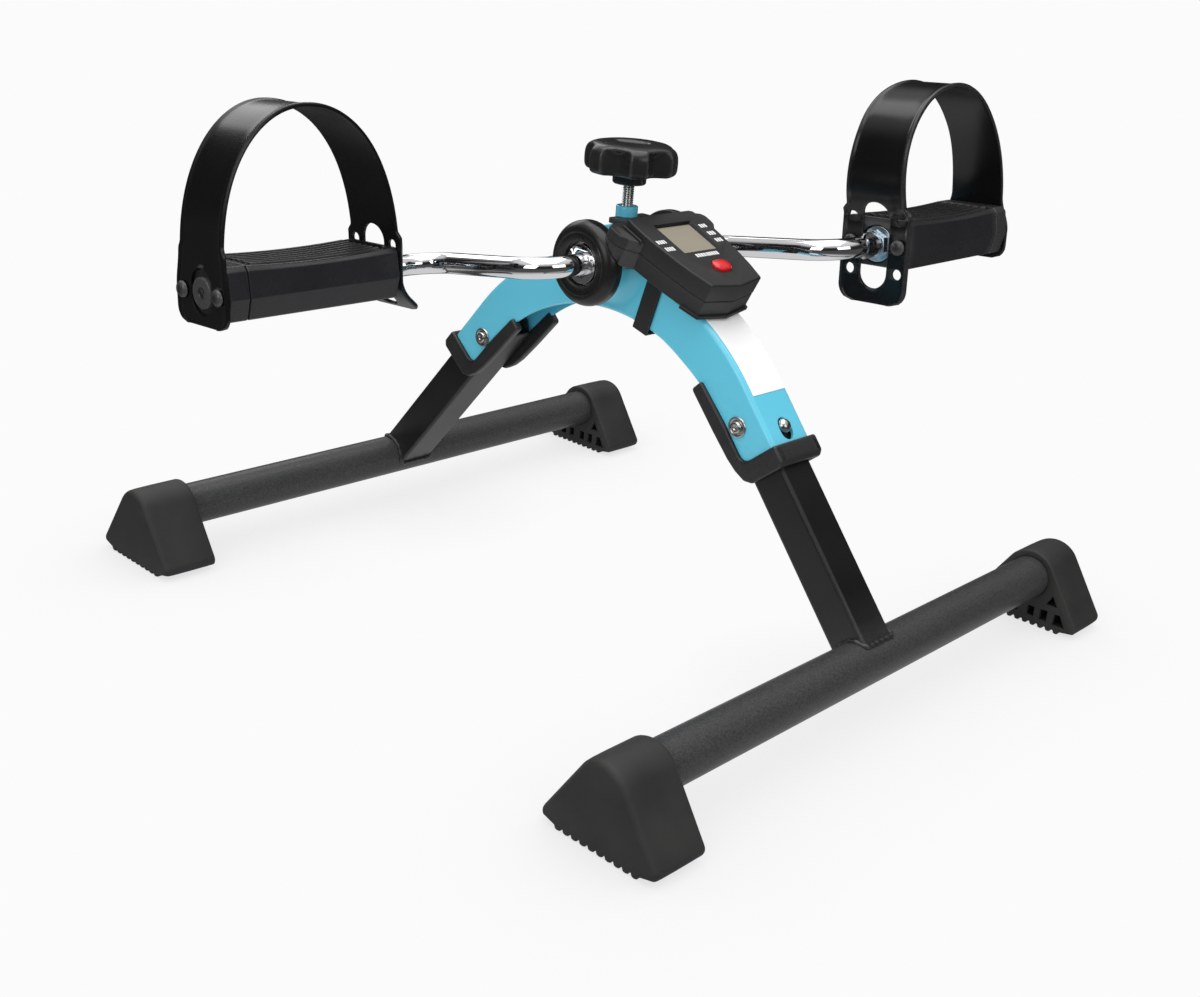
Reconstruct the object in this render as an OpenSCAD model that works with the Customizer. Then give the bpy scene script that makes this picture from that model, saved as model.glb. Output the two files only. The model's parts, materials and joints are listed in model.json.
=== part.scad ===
// Folding pedal exerciser: an arched steel frame on two folding legs, a pair of
// cranked pedals with toe straps, a friction brake with a star knob and a small
// electronic counter. X runs along the pedal axle, the user sits towards -Y,
// Z is up and the origin is on the floor under the middle of the base.

/* [Base] */
// Length of a ground bar over its two rubber feet
base_len = 412; // [380:1:440]
// Diameter of a ground bar tube
bar_d = 25.4; // [22:0.1:28]
// Height of a ground bar's axis above the floor
bar_z = 29.7; // [27:0.1:34]
// Half the spread of a foot on the floor, across the bar
foot_half = 35; // [30:0.5:42]
// Depth of a foot along the bar
foot_depth = 34; // [28:1:42]
// Number of grip teeth under a foot
foot_teeth = 10; // [6:1:12]

/* [Legs] */
// Width of the rectangular leg tube, along X
leg_w = 25; // [22:0.5:26]
// Depth of the rectangular leg tube, across X
leg_d = 22; // [20:0.5:22.5]
// Wall of the leg tube
leg_wall = 1.5; // [1:0.1:2]
// Lean of a leg from the vertical, in degrees
leg_tilt = 40.2; // [38:0.1:42]
// Distance of a leg's pivot from the middle plane
pivot_y = 101; // [99:0.5:104]
// Height of a leg's pivot
pivot_z = 135.2; // [133:0.1:138]

/* [Frame] */
// Width of the arched channel, along X
arch_w = 32; // [31:0.5:34]
// Sheet thickness of the channel
sheet = 2; // [1.5:0.1:2.5]
// Radius of the channel's outer bend
arch_r = 135.6; // [130:0.1:140]
// Radius of the channel's inner edge
arch_in_r = 118; // [116:0.5:120]
// Height of the pedal axle
hub_z = 204.7; // [202:0.1:207]
// Radius of the hub barrel
barrel_r = 18.2; // [17.5:0.1:18.6]
// Radius of the fillet that spreads the channel out to the barrel
flare = 8; // [6:0.5:9]

/* [Crank] */
// Distance from the hub axis to each pedal axis
crank_r = 91.6; // [80:0.1:100]
// Distance of the straight crank arm from the middle plane
arm_x = 68.7; // [66:0.1:74]
// Diameter of the bent crank rod
rod_d = 12; // [11:0.1:13]
// Radius of the rod's two bends, to its centreline
bend_r = 20; // [16:1:24]
// Angle of the crank arms from level, in degrees
crank_lean = 9.1; // [0:0.1:45]
// Diameter of the crank spindle
spindle_d = 21.5; // [20:0.1:22]

/* [Pedals] */
// Distance of a pedal's inner end from the middle plane
pedal_x = 110; // [108:0.5:114]
// Length of a pedal's body with its end cap
pedal_len = 107.5; // [100:0.5:112]
// Half the width of a pedal's tread
pedal_half = 22.5; // [20:0.5:24]
// Tilt of the pedals at rest, in degrees
pedal_lean = 4; // [0:0.5:10]
// Width of the toe strap
strap_w = 40; // [36:1:44]
// Thickness of the toe strap
strap_t = 2; // [1.6:0.1:2.4]

/* [Brake] */
// Offset of the tension post from the hub axis
post_y = 5; // [3:0.5:6]
// Diameter of the tension screw
screw_d = 6.5; // [6:0.1:7]
// Number of lobes on the knob
knob_lobes = 6; // [5:1:8]
// Overall diameter of the knob
knob_d = 53; // [46:1:56]

/* [Counter] */
// Height of the middle of the counter's window
win_z = 224.1; // [223.5:0.1:226]
// Distance of the middle of the counter's window in front of the hub
win_y = 40.8; // [40:0.1:42]
// Tilt of the counter's face, in degrees
face_tilt = 23.4; // [22:0.1:25]
// Width of the counter's window
win_w = 30.4; // [26:0.1:31]
// Height of the counter's window
win_h = 25.8; // [22:0.1:26]

/* [Hidden] */
$fn = 64;
RUN = 0.08;             // running clearance between a shaft and its bore
FIT = 0.03;             // clearance between a moulding and the metal it is pushed onto
FAR = 400;              // longer than anything that it cuts

// Leg and channel, in the leg's own frame: z up the leg, y towards the middle
leg_shift = 1.5;        // leg and bar sit this far outside the pivot
leg_reach = (pivot_z - bar_z + leg_shift * sin(leg_tilt)) / cos(leg_tilt);   // pivot to ground bar
bar_y = pivot_y + leg_reach * sin(leg_tilt) + leg_shift * cos(leg_tilt);
channel_end = -18.7;    // where the channel stops, below the pivot
leg_top = 13.2;         // radius of the leg's rounded upper end
pivot_r = 3;            // pivot bolt
button_z = -9.5;        // snap button, below the pivot
button_r = 4.2;

// Channel profile in the YZ plane
arch_top = hub_z + 1;
collar_r = barrel_r + 1.2;                // collar that holds the barrel
collar_top = hub_z + collar_r;
arch_c = arch_top - arch_r;               // centre height of the outer bend
arch_in_c = 176.3 - arch_in_r;            // centre height of the inner edge
run_out = 90 - leg_tilt;                  // bend angle where the channel runs straight
function on_arc(r, c, a) = [-r * sin(a), c + r * cos(a)];
out_tan = on_arc(arch_r, arch_c, run_out);
in_tan = on_arc(arch_in_r, arch_in_c, run_out);
leg_dir = [-sin(leg_tilt), -cos(leg_tilt)];
label_gap = 0.02;                         // glue line under the label
label_t = 0.3;
pivot = [-pivot_y, pivot_z];
arch_out = (pivot - out_tan) * [cos(leg_tilt), -sin(leg_tilt)];   // pivot to outer face
function down_to(p, z) = p + leg_dir * ((pivot - p) * leg_dir - z);
out_end = down_to(out_tan, channel_end);
in_end = down_to(in_tan, channel_end);

// Crank, hub and pedals
spindle_r = spindle_d / 2;
rod_r = rod_d / 2;
hub_half = 35;          // half the length of the hub barrel
magnet_x = -11;         // the counter's magnet and switch sit between the bushes
spindle_half = 39.5;
bush_in = 20;           // inner end of a hub bush
cap_x = 31;             // inner end of a hub cap
cap_out = 41.5;
cap_r = 23.6;
cap_x2 = pedal_x + pedal_len - 12;        // where the pedal's end cap starts
pedal_end = pedal_x + pedal_len;
stud_y = 16;            // half the spacing of the strap studs
hole_pitch = 15.2;      // spacing of the strap's adjustment holes
tread_z = 15.2;
belly_z = -12.7;
retainer_x = cap_x2 + 4;

// Brake
shoe_r = 4.4;
shoe_h = 6;
post_r = 6.2;
post_top = 232.8;
shoe_top = hub_z + spindle_r + shoe_h;
knob_z = 251;           // underside of the knob's rim
knob_rim = 17;

// Counter
face_deep = 11;         // depth of the top cover
base_deep = 21;         // depth of both shells
shell = 1.8;
face_back = 22.5;
face_front = -41.6;
face_tip = -44.8;
face_edge = [[24, 22.5], [26.4, 21.3], [27.4, 18], [28, 8], [28, 0], [27.2, -9], [25.9, -20],
    [24.2, -30], [20.8, -41.6]];          // right half of the face, from back to front
ear_top = -4.3;         // ears beside the hub, between these depths
ear_low = -22;
screw_at = [18.2, -35.8];
tab_half = 14.3;        // fork that straddles the tension post
btn_y = -27.5;
door_y = -33;           // battery door and cell

// ---------------------------------------------------------------- helpers

module mirror_y(on) {
    if (on) mirror([0, 1, 0]) children();
    else children();
}

module mirror_x(on) {
    if (on) mirror([1, 0, 0]) children();
    else children();
}

// Leg frame: origin on the pivot, z up the leg, y towards the middle of the base
module at_leg(front) {
    mirror_y(front)
        translate([0, -pivot_y, pivot_z])
            rotate([-leg_tilt, 0, 0]) children();
}

// Hub frame: x along the axle
module at_hub() {
    translate([0, 0, hub_z]) children();
}

// Crank frame: x outwards along the axle, y along the arm
module at_crank(left) {
    mirror_x(left)
        at_hub()
            rotate([left ? -crank_lean : 180 - crank_lean, 0, 0]) children();
}

// Pedal frame: x outwards along the pedal's axis
module at_pedal(left) {
    side = left ? 1 : -1;
    translate([0, side * crank_r * cos(crank_lean), hub_z - side * crank_r * sin(crank_lean)])
        mirror_x(left)
            rotate([-pedal_lean, 0, 0]) children();
}

// Counter frame: origin in the middle of the window, z out of the face
module at_counter() {
    translate([0, -win_y, win_z])
        rotate([face_tilt, 0, 0]) children();
}

module x_rod(r, x0, x1) {
    translate([x0, 0, 0]) rotate([0, 90, 0]) cylinder(r = r, h = x1 - x0);
}

module x_ring(r, bore, x0, x1) {
    difference() {
        x_rod(r, x0, x1);
        x_rod(bore, x0 - 1, x1 + 1);
    }
}

// Extrudes a YZ outline along X, centred
module along_x(w) {
    rotate([90, 0, 90]) linear_extrude(w, center = true) children();
}

module mirror_copy_y() {
    children();
    mirror([1, 0]) children();
}

module rounded_box(size, r) {
    hull()
        for (x = [-1, 1], y = [-1, 1])
            translate([x * (size[0] / 2 - r), y * (size[1] / 2 - r), 0])
                cylinder(r = r, h = size[2], $fn = 32);
}

// ------------------------------------------------------------ arched frame

// Side outline of the channel: a bend between two straight runs
module arch_side(inset = 0, open = 0, past = 0) {
    r_out = arch_r - inset;
    r_in = arch_in_r + inset - open;
    o = on_arc(r_out, arch_c, run_out);
    i = on_arc(r_in, arch_in_c, run_out);
    o_end = down_to(o, channel_end - past);
    i_end = down_to(i, channel_end - past);
    intersection() {
        difference() {
            translate([0, arch_c]) circle(r_out, $fn = 128);
            translate([0, arch_in_c]) circle(r_in, $fn = 128);
        }
        polygon([i, o, [o[0], 300], [-o[0], 300], [-o[0], o[1]], [-i[0], i[1]]]);
    }
    mirror_copy_y() polygon([i, o, o_end, i_end]);
}

// The underside is closed under the hub and opens in a leaf shape towards each leg
module leaf_opening() {
    half = arch_w / 2 - sheet;
    translate([0, 0, 90])
        linear_extrude(88)
            for (s = [-1, 1])
                polygon([[0, s * 24], [half * 0.62, s * 33], [half * 0.9, s * 44], [half, s * 60],
                    [half, s * 150], [-half, s * 150], [-half, s * 60], [-half * 0.9, s * 44],
                    [-half * 0.62, s * 33]]);
}

// Hollow fillet that spreads the channel's cheeks out to the hub barrel
module hub_flare() {
    intersection() {
        at_hub()
            for (s = [0, 1])
                mirror([s, 0, 0])
                    rotate([0, 90, 0])
                        rotate_extrude($fn = 96)
                            difference() {
                                translate([barrel_r - 1, arch_w / 2 - 1]) square([flare + 1, flare + 1]);
                                translate([barrel_r + flare, arch_w / 2 + flare]) circle(flare - 0.4);
                            }
        along_x(FAR) arch_side();
    }
}

module button_slot(front) {
    at_leg(front)
        hull()
            for (dz = [0, -3.2])
                translate([0, -leg_d, button_z + dz])
                    rotate([90, 0, 0]) cylinder(r = button_r + 0.6, h = leg_d, center = true, $fn = 32);
}

module arch_frame() {
    color("#5fb8d0")
        difference() {
            union() {
                along_x(arch_w) arch_side();
                at_hub() x_rod(collar_r, -arch_w / 2, arch_w / 2);
                hub_flare();
            }
            along_x(arch_w - 2 * sheet) arch_side(sheet, 0, 5);
            intersection() {
                along_x(arch_w - 2 * sheet) arch_side(sheet, 60, 60);
                leaf_opening();
            }
            at_hub() x_rod(barrel_r, -FAR, FAR);
            translate([0, post_y, hub_z]) cylinder(r = post_r, h = FAR);
            for (front = [false, true]) {
                at_leg(front) x_rod(pivot_r, -FAR, FAR);
                button_slot(front);
            }
        }
}

module hub_barrel() {
    color("#5fb8d0")
        difference() {
            at_hub() x_ring(barrel_r, barrel_r - 2.3, -hub_half, hub_half);
            translate([0, post_y, hub_z]) cylinder(r = post_r, h = FAR);
        }
}

module tension_post() {
    foot_z = hub_z + barrel_r - 3;
    color("#5fb8d0")
        difference() {
            translate([0, post_y, foot_z]) cylinder(r = post_r, h = post_top - foot_z);
            translate([0, post_y, foot_z - 1]) cylinder(r = shoe_r + RUN, h = shoe_top + 3 - foot_z + 1);
            translate([0, post_y, foot_z]) cylinder(r = screw_d / 2 + RUN, h = FAR);
        }
}

module hub_bush(left) {
    color("#d9d6c8")
        mirror_x(left)
            at_hub() x_ring(barrel_r - 2.3, spindle_r + RUN, bush_in, hub_half);
}

// Half section of a hub cap: radius along x, axle along y
module cap_section(gap = 0) {
    round_r = 6;
    translate([0, cap_x - gap]) square([cap_r + gap, cap_out - round_r - cap_x + gap]);
    translate([0, cap_x]) square([cap_r - round_r - 0.1, cap_out + gap - cap_x]);
    intersection() {
        translate([cap_r - round_r, cap_out - round_r]) circle(round_r + gap);
        translate([0, cap_x]) square(FAR);
    }
}

// Domed cap with a flat front ring, pressed over the end of the barrel
module hub_cap(left) {
    color("#161616")
        mirror_x(left)
            at_hub()
                rotate([0, 90, 0])
                    rotate_extrude($fn = 96)
                        difference() {
                            cap_section();
                            translate([0, cap_x - 1]) square([barrel_r, hub_half - cap_x + 1]);
                            translate([0, cap_x]) square([16.5, 38.2 - cap_x]);
                            translate([0, cap_x]) square([12.3, FAR]);
                        }
}

// ---------------------------------------------------- crank and brake

module spindle() {
    lock_r = 2;
    color("#c9ccd0")
        difference() {
            at_hub() x_rod(spindle_r, -spindle_half, spindle_half);
            for (left = [false, true])
                at_crank(left) {
                    x_rod(rod_r, bush_in, FAR);
                    translate([0, -8.3, 0]) x_rod(lock_r, spindle_half - 8, FAR);
                }
            magnet_pocket(4);
        }
}

module crank_arm(left) {
    color("#d5d8dc")
        at_crank(left) {
            x_rod(rod_r, bush_in, arm_x - bend_r);
            translate([arm_x - bend_r, bend_r, 0])
                rotate([0, 0, -90])
                    rotate_extrude(angle = 90) translate([bend_r, 0]) circle(rod_r);
            translate([arm_x, bend_r, 0])
                rotate([-90, 0, 0]) cylinder(r = rod_r, h = crank_r - 2 * bend_r);
            translate([arm_x + bend_r, crank_r - bend_r, 0])
                rotate([0, 0, 90])
                    rotate_extrude(angle = 90) translate([bend_r, 0]) circle(rod_r);
            translate([0, crank_r, 0]) x_rod(rod_r, arm_x + bend_r, retainer_x + 3);
        }
}

// Screws that lock each arm in the spindle's end
module arm_lock_screws() {
    color("#b9b08a")
        for (left = [false, true])
            at_crank(left)
                translate([0, -8.3, 0]) {
                    x_rod(2, spindle_half - 8, spindle_half);
                    x_rod(2.2, spindle_half, spindle_half + 1.2);
                }
}

module thrust_washers() {
    color("#c9ccd0")
        for (left = [false, true])
            mirror_x(left)
                at_hub() x_ring(14.5, spindle_r, hub_half + 0.1, hub_half + 1.6);
}

module magnet_pocket(high) {
    at_hub()
        translate([magnet_x, 2 - spindle_r, 0]) rotate([90, 0, 0]) cylinder(r = 2.5, h = high);
}

module sensor_magnet() {
    color("#9a9a9a") magnet_pocket(1.8);
}

module pedal_flange(left) {
    color("#a9bcc6")
        at_crank(left)
            translate([0, crank_r, 0]) {
                x_ring(10.3, rod_r, pedal_x + 0.2, pedal_x + 1.8);
                difference() {
                    translate([pedal_x - 3.4, 0, 0]) rotate([0, 90, 0]) cylinder(r = 8.2, h = 3.6, $fn = 6);
                    x_rod(rod_r, pedal_x - 10, pedal_x + 10);
                }
            }
}

module pedal_retainer(left) {
    color("#c9ccd0")
        at_crank(left)
            translate([0, crank_r, 0]) x_ring(8, rod_r, retainer_x, retainer_x + 1.5);
}

// Concave on its lower face, where it bears on the spindle
module brake_shoe() {
    color("#6b4a2c")
        difference() {
            translate([0, post_y, hub_z]) cylinder(r = shoe_r, h = shoe_top - hub_z);
            at_hub() x_rod(spindle_r + RUN, -FAR, FAR);
        }
}

module tension_screw() {
    color("#c9ccd0")
        translate([0, post_y, shoe_top]) cylinder(r = screw_d / 2, h = knob_z + 8 - shoe_top);
}

module tension_knob() {
    dip_r = 6.2;
    dip_at = knob_d / 2 + 2.4;
    color("#111111")
        difference() {
            union() {
                translate([0, post_y, knob_z]) cylinder(r = knob_d / 2, h = knob_rim);
                translate([0, post_y, knob_z - 6]) cylinder(r = 9.4, h = 8);
            }
            translate([0, post_y, knob_z]) {
                for (i = [0:knob_lobes - 1])
                    rotate([0, 0, (i + 0.38) * 360 / knob_lobes])
                        translate([dip_at, 0, -1]) cylinder(r = dip_r, h = knob_rim + 2);
                translate([0, 0, knob_rim - 1.2]) cylinder(r = 11, h = 4);
                translate([0, 0, -10]) cylinder(r = screw_d / 2, h = 18);
            }
        }
}

// ---------------------------------------------------------------- pedals

// Six-sided tread section in the pedal's YZ plane
module tread_section(inset = 0) {
    top = tread_z - inset;
    low = belly_z + inset;
    wide = pedal_half + 0.5 - inset;
    rim = pedal_half - 3.5 - inset;
    polygon([[-rim, top], [-wide + 1.6, top - 2.6], [-wide, -0.9], [-rim - 0.6, low], [rim + 0.6, low],
        [wide, -0.9], [wide - 1.6, top - 2.6], [rim, top]]);
}

module pedal_span(x0, x1) {
    translate([(x0 + x1) / 2, 0, 0]) along_x(x1 - x0) children();
}

// Mushroom studs that hold the strap
module strap_studs(x, out) {
    for (s = [-1, 1])
        translate([x, s * stud_y, 0]) {
            x_rod(2.9, min(0, out * 3), max(0, out * 3));
            translate([out * 2.4, 0, 0]) x_rod(4.3, min(0, out * 2), max(0, out * 2));
        }
}

module pedal_body(left) {
    ribs = 7;
    pitch = 5.4;
    color("#1b1b1c")
        at_pedal(left)
            difference() {
                union() {
                    pedal_span(pedal_x, cap_x2) tread_section();
                    strap_studs(pedal_x, -1);
                }
                difference() {
                    pedal_span(pedal_x + 6, cap_x2 - 3) tread_section(3);
                    x_rod(10, pedal_x, cap_x2);
                }
                for (i = [0:ribs - 2])
                    translate([(pedal_x + cap_x2) / 2, (i - (ribs - 2) / 2) * pitch, tread_z])
                        cube([cap_x2 - pedal_x - 10, 2.2, 3], center = true);
                x_rod(rod_r + RUN, 0, FAR);
                x_rod(11, pedal_x - 1, pedal_x + 2.2);
            }
}

module pedal_end_cap(left) {
    color("#1b1b1c")
        at_pedal(left)
            difference() {
                union() {
                    pedal_span(cap_x2, pedal_end) tread_section();
                    strap_studs(pedal_end, 1);
                    x_rod(8.2, pedal_end, pedal_end + 2.6);
                }
                x_rod(10.5, cap_x2 - 1, pedal_end - 2);
            }
}

// A cubic curve between p0 and p3
function cubic(p, t) = p[0] * pow(1 - t, 3) + p[1] * 3 * t * pow(1 - t, 2)
    + p[2] * 3 * t * t * (1 - t) + p[3] * pow(t, 3);
function unit(v) = v / norm(v);
function side_of(v) = [-v[1], v[0]];

// The strap's arch seen along Y: a band of even thickness along two cubic curves
module strap_arch(inner, apex, outer, hands) {
    steps = 14;
    path = concat(
        [for (i = [0:steps]) cubic([inner, hands[0], hands[1], apex], i / steps)],
        [for (i = [1:steps]) cubic([apex, hands[2], hands[3], outer], i / steps)]);
    last = len(path) - 1;
    flow = [for (i = [0:last]) unit(path[min(i + 1, last)] - path[max(i - 1, 0)])];
    polygon(concat(
        [for (i = [0:last]) path[i] + side_of(flow[i]) * strap_t / 2],
        [for (i = [last:-1:0]) path[i] - side_of(flow[i]) * strap_t / 2]));
}

// Plate with a long slot and three pairs of holes, for the crank side
module strap_plate_cuts(x, pairs, slot_half) {
    slot_r = 9.2;
    for (z = [-slot_half, slot_half])
        translate([0, 0, z]) x_rod(slot_r, x - 8, x + 8);
    translate([x, 0, 0]) cube([16, 2 * slot_r, 2 * slot_half], center = true);
    for (p = pairs, s = [-1, 1])
        translate([0, s * stud_y, p * hole_pitch]) x_rod(3.1, x - 8, x + 8);
}

// The strap of the left pedal stands higher and its tail is bent out towards the crank
module toe_strap(left) {
    plate_w = strap_w + 6;
    in_x = pedal_x - 1.1;
    out_x = pedal_end + 1.1;
    inner = [in_x, 16];
    outer = [out_x, 16.5];
    apex = left ? [166, 91.5] : [153, 88];
    hands = left ? [[111, 58], [131, 91.5], [194, 91.5], [out_x - 0.8, 63]]
        : [[92, 55], [111, 88], [189, 88], [out_x - 1.5, 51]];
    tail = left ? [[in_x, -5], [in_x - 1.5, -10], [in_x - 6.5, -15.5], [in_x - 14, -21]]
        : [[in_x, -5], [in_x, -15], [in_x, -25], [in_x, -34]];
    color("#101010")
        at_pedal(left)
            difference() {
                union() {
                    rotate([90, 0, 0])
                        linear_extrude(strap_w, center = true) strap_arch(inner, apex, outer, hands);
                    rotate([90, 0, 0])
                        linear_extrude(plate_w, center = true) {
                            translate([in_x - strap_t / 2, -5]) square([strap_t, 21]);
                            translate([out_x - strap_t / 2, -17]) square([strap_t, outer[1] + 17]);
                            strap_arch(tail[0], tail[1], tail[3], [tail[0], tail[0], tail[2], tail[2]]);
                        }
                }
                strap_plate_cuts(in_x, left ? [0, 1] : [-1, 0, 1], 16);
                strap_plate_cuts(out_x, [0], 3);
                for (s = [-1, 1])
                    translate([0, s * plate_w / 2, left ? -24 : -34])
                        rotate([45, 0, 0]) cube([FAR, 7, 7], center = true);
                for (s = [-1, 1])
                    translate([out_x, s * plate_w / 2, -17])
                        rotate([45, 0, 0]) cube([6, 9, 9], center = true);
            }
}

// ------------------------------------------------------------------ legs

// Cheek of the guard in the leg's YZ plane: a collar that runs up into an edge strip
module guard_cheek() {
    low = channel_end - 12;
    top = channel_end - FIT;
    polygon([[-18.6, top], [6.5, top], [6.5, 5], [8.4, 31.4], [16.4, 30.8], [15.6, 5],
        [14.6, -12], [13.2, -20], [10.5, -27], [6, low + 0.2], [-16, low], [-18.6, low + 2.6]]);
}

// The walls of the channel, which slot into the guard's strips
module channel_walls() {
    difference() {
        along_x(arch_w + 4 * FIT) arch_side(-2 * FIT, 0, FIT);
        along_x(arch_w - 2 * sheet - 4 * FIT) arch_side(-5, 20, 30);
    }
}

// Plastic guard: a collar under the channel's end and a strip along each free edge
module leg_guard(front) {
    wide = arch_w / 2 + 2;
    bore = leg_w / 2 + 0.6;
    face = leg_d / 2 + leg_shift + 0.6;
    color("#141414")
        difference() {
            at_leg(front) {
                for (s = [-1, 1])
                    translate([s * (wide + bore) / 2, 0, 0]) along_x(wide - bore) guard_cheek();
                translate([-wide, -18.6, channel_end - 9.4]) cube([2 * wide, 18.6 - face, 9.4 - FIT]);
            }
            channel_walls();
        }
}

module pivot_bolt(front) {
    color("#c9ccd0")
        at_leg(front) {
            x_rod(pivot_r, -arch_w / 2, arch_w / 2 + 4);
            difference() {
                x_rod(5.8, -arch_w / 2 - 1.8, -arch_w / 2);
                x_rod(2.4, -arch_w / 2 - 3, -arch_w / 2 - 0.8);
            }
        }
}

module pivot_nut(front) {
    color("#c9ccd0")
        at_leg(front)
            difference() {
                union() {
                    x_rod(5.8, arch_w / 2, arch_w / 2 + 1);
                    translate([arch_w / 2 + 1, 0, 0]) rotate([0, 90, 0]) cylinder(r = 5, h = 3.4, $fn = 6);
                }
                x_rod(pivot_r, 0, arch_w / 2 + 4);
            }
}

module pivot_washers(front) {
    color("#d9d6c8")
        at_leg(front)
            for (s = [0, 1])
                mirror([s, 0, 0]) x_ring(6.2, pivot_r, leg_w / 2 + 0.1, arch_w / 2 - sheet);
}

// Rectangular tube with a rounded upper end, coped over the ground bar
module leg_tube(front) {
    half = leg_d / 2;
    long = leg_reach - bar_d / 2 + 4;
    color("#1a1a1b")
        at_leg(front)
            difference() {
                union() {
                    translate([-leg_w / 2, -half - leg_shift, -long]) cube([leg_w, leg_d, long]);
                    intersection() {
                        x_rod(leg_top, -leg_w / 2, leg_w / 2);
                        translate([-leg_w / 2, -half - leg_shift, -1]) cube([leg_w, leg_d, 40]);
                    }
                }
                translate([-leg_w / 2 + leg_wall, leg_wall - half - leg_shift, -long - 1])
                    cube([leg_w - 2 * leg_wall, leg_d - 2 * leg_wall, long + 60]);
                x_rod(pivot_r + RUN, -FAR, FAR);
                translate([0, -half, button_z]) rotate([90, 0, 0]) cylinder(r = button_r + RUN, h = 20, center = true);
                translate([0, -leg_shift, -leg_reach]) x_rod(bar_d / 2, -FAR, FAR);
            }
}

module pivot_spacer(front) {
    inner = leg_w / 2 - leg_wall;
    color("#c9ccd0")
        at_leg(front) x_ring(4.4, pivot_r + RUN, -inner, inner);
}

module ground_bar(front) {
    half = base_len / 2 - 4;
    color("#1a1a1b")
        at_leg(front)
            translate([0, -leg_shift, -leg_reach]) x_ring(bar_d / 2, bar_d / 2 - 1.5, -half, half);
}

// Outline of a foot seen along the bar: a round top on a wide toothed base
module foot_outline(inset = 0) {
    corner = 4.5;
    hull() {
        translate([0, bar_z]) circle(bar_d / 2 + 4 - inset, $fn = 48);
        for (s = [-1, 1])
            translate([s * (foot_half - corner), corner + 1.5]) circle(corner - inset, $fn = 24);
    }
}

module foot_teeth_gaps() {
    pitch = 5.2;
    tooth = 1.8;
    for (i = [0:foot_teeth])
        translate([(i - foot_teeth / 2) * pitch, 0]) polygon([[-2, -1], [2, -1], [1, tooth], [-1, tooth]]);
}

// Weight-saving pockets in a foot's inner face
module foot_pockets() {
    mirror_copy_y() {
        polygon([[3.2, 6.2], [7.6, 5.8], [7.6, 12], [3.2, 12]]);
        polygon([[11.6, 5.4], [16.2, 5.4], [16.2, 12.4], [11.6, 12.2]]);
        polygon([[20.4, 4.9], [28.4, 5.2], [24.2, 12.4], [20.9, 12]]);
        polygon([[14.5, 16.4], [21.6, 16.6], [17.6, 23]]);
    }
}

module foot(front, left) {
    outer = base_len / 2;
    pocket = foot_depth - 6;
    color("#20201e")
        mirror_y(front)
            mirror_x(left)
                translate([outer - foot_depth / 2, -bar_y, 0])
                    difference() {
                        along_x(foot_depth)
                            difference() {
                                union() {
                                    foot_outline();
                                    translate([-foot_half + 6, 0]) square([2 * foot_half - 12, 4]);
                                }
                                foot_teeth_gaps();
                            }
                        translate([-foot_depth / 2 - 4, 0, bar_z]) x_rod(bar_d / 2 + FIT, 0, foot_depth);
                        translate([-foot_depth / 2 - 1, 0, 0])
                            rotate([90, 0, 90]) linear_extrude(pocket) foot_pockets();
                    }
}

module snap_button(front) {
    color("#d5d8dc")
        at_leg(front)
            translate([0, 0, button_z])
                rotate([90, 0, 0]) {
                    translate([0, 0, 3]) cylinder(r = button_r, h = 12.6);
                    translate([0, 0, 15.6])
                        intersection() {
                            translate([0, 0, -button_r * 0.45]) sphere(r = button_r * 1.1);
                            cylinder(r = button_r, h = 5);
                        }
                    translate([0, 0, 7]) cylinder(r = button_r + 0.6, h = 1.6);
                }
}

// ---------------------------------------------------------------- counter

// Outline of the counter seen on its face, with a blunt point in front
function inset_edge(p, inset) = [p[0] - inset, min(max(p[1], face_front + inset), face_back - inset)];
module counter_outline(inset = 0) {
    right = [for (p = face_edge) inset_edge(p, inset)];
    polygon(concat(right, [[0, face_tip + inset]],
        [for (i = [len(right) - 1:-1:0]) [-right[i][0], right[i][1]]]));
}

// The two ears reach out in front of the hub caps
module ear_outline() {
    mirror_copy_x()
        polygon([[14, 20], [22, 3.3], [27.4, 3.3], [35.7, 9.3], [38.7, 12.6], [39.4, 15.8], [39.4, 20.6],
            [37.8, 23.2], [34.6, 24.4], [14, 24.4]]);
}

module ear_hollow() {
    mirror_copy_x()
        polygon([[29.8, 8], [35.3, 11.4], [37, 13.4], [37.6, 16], [37.6, 20.2], [36.4, 22.2], [29.8, 22.2]]);
}

module mirror_copy_x() {
    children();
    mirror([1, 0]) children();
}

module rounded_caps(gap) {
    for (s = [0, 1])
        mirror([s, 0, 0])
            at_hub() rotate([0, 90, 0]) rotate_extrude($fn = 96) cap_section(gap);
}

// Room for the channel, its hub flare and collar, the barrel and the hub caps
module frame_room(gap = 0.2) {
    along_x(arch_w + 2 * gap) arch_side(-gap);
    intersection() {
        along_x(FAR) arch_side(-gap);
        at_hub() x_rod(barrel_r + flare, -arch_w / 2 - flare, arch_w / 2 + flare);
    }
    at_hub() x_rod(collar_r + gap, -arch_w / 2 - gap, arch_w / 2 + gap);
    at_hub() x_rod(barrel_r + gap, -FAR, FAR);
    rounded_caps(0.5);
}

module screw_posts(r, z0, z1) {
    for (s = [-1, 1])
        translate([s * screw_at[0], screw_at[1], z0]) cylinder(r = r, h = z1 - z0);
}

// Fork behind the cover, lying on the hub collar on both sides of the tension post
module post_fork() {
    low = collar_top + 0.2;
    back = post_y + 0.8;
    difference() {
        translate([0, 0, low])
            linear_extrude(3)
                polygon([[-tab_half, -24], [-tab_half, back - 1], [-tab_half + 1, back], [tab_half - 1, back],
                    [tab_half, back - 1], [tab_half, -24]]);
        translate([0, post_y, 0]) cylinder(r = post_r + 0.15, h = FAR);
        translate([-post_r - 0.15, post_y, 0]) cube([2 * post_r + 0.3, 20, FAR]);
    }
}

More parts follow.
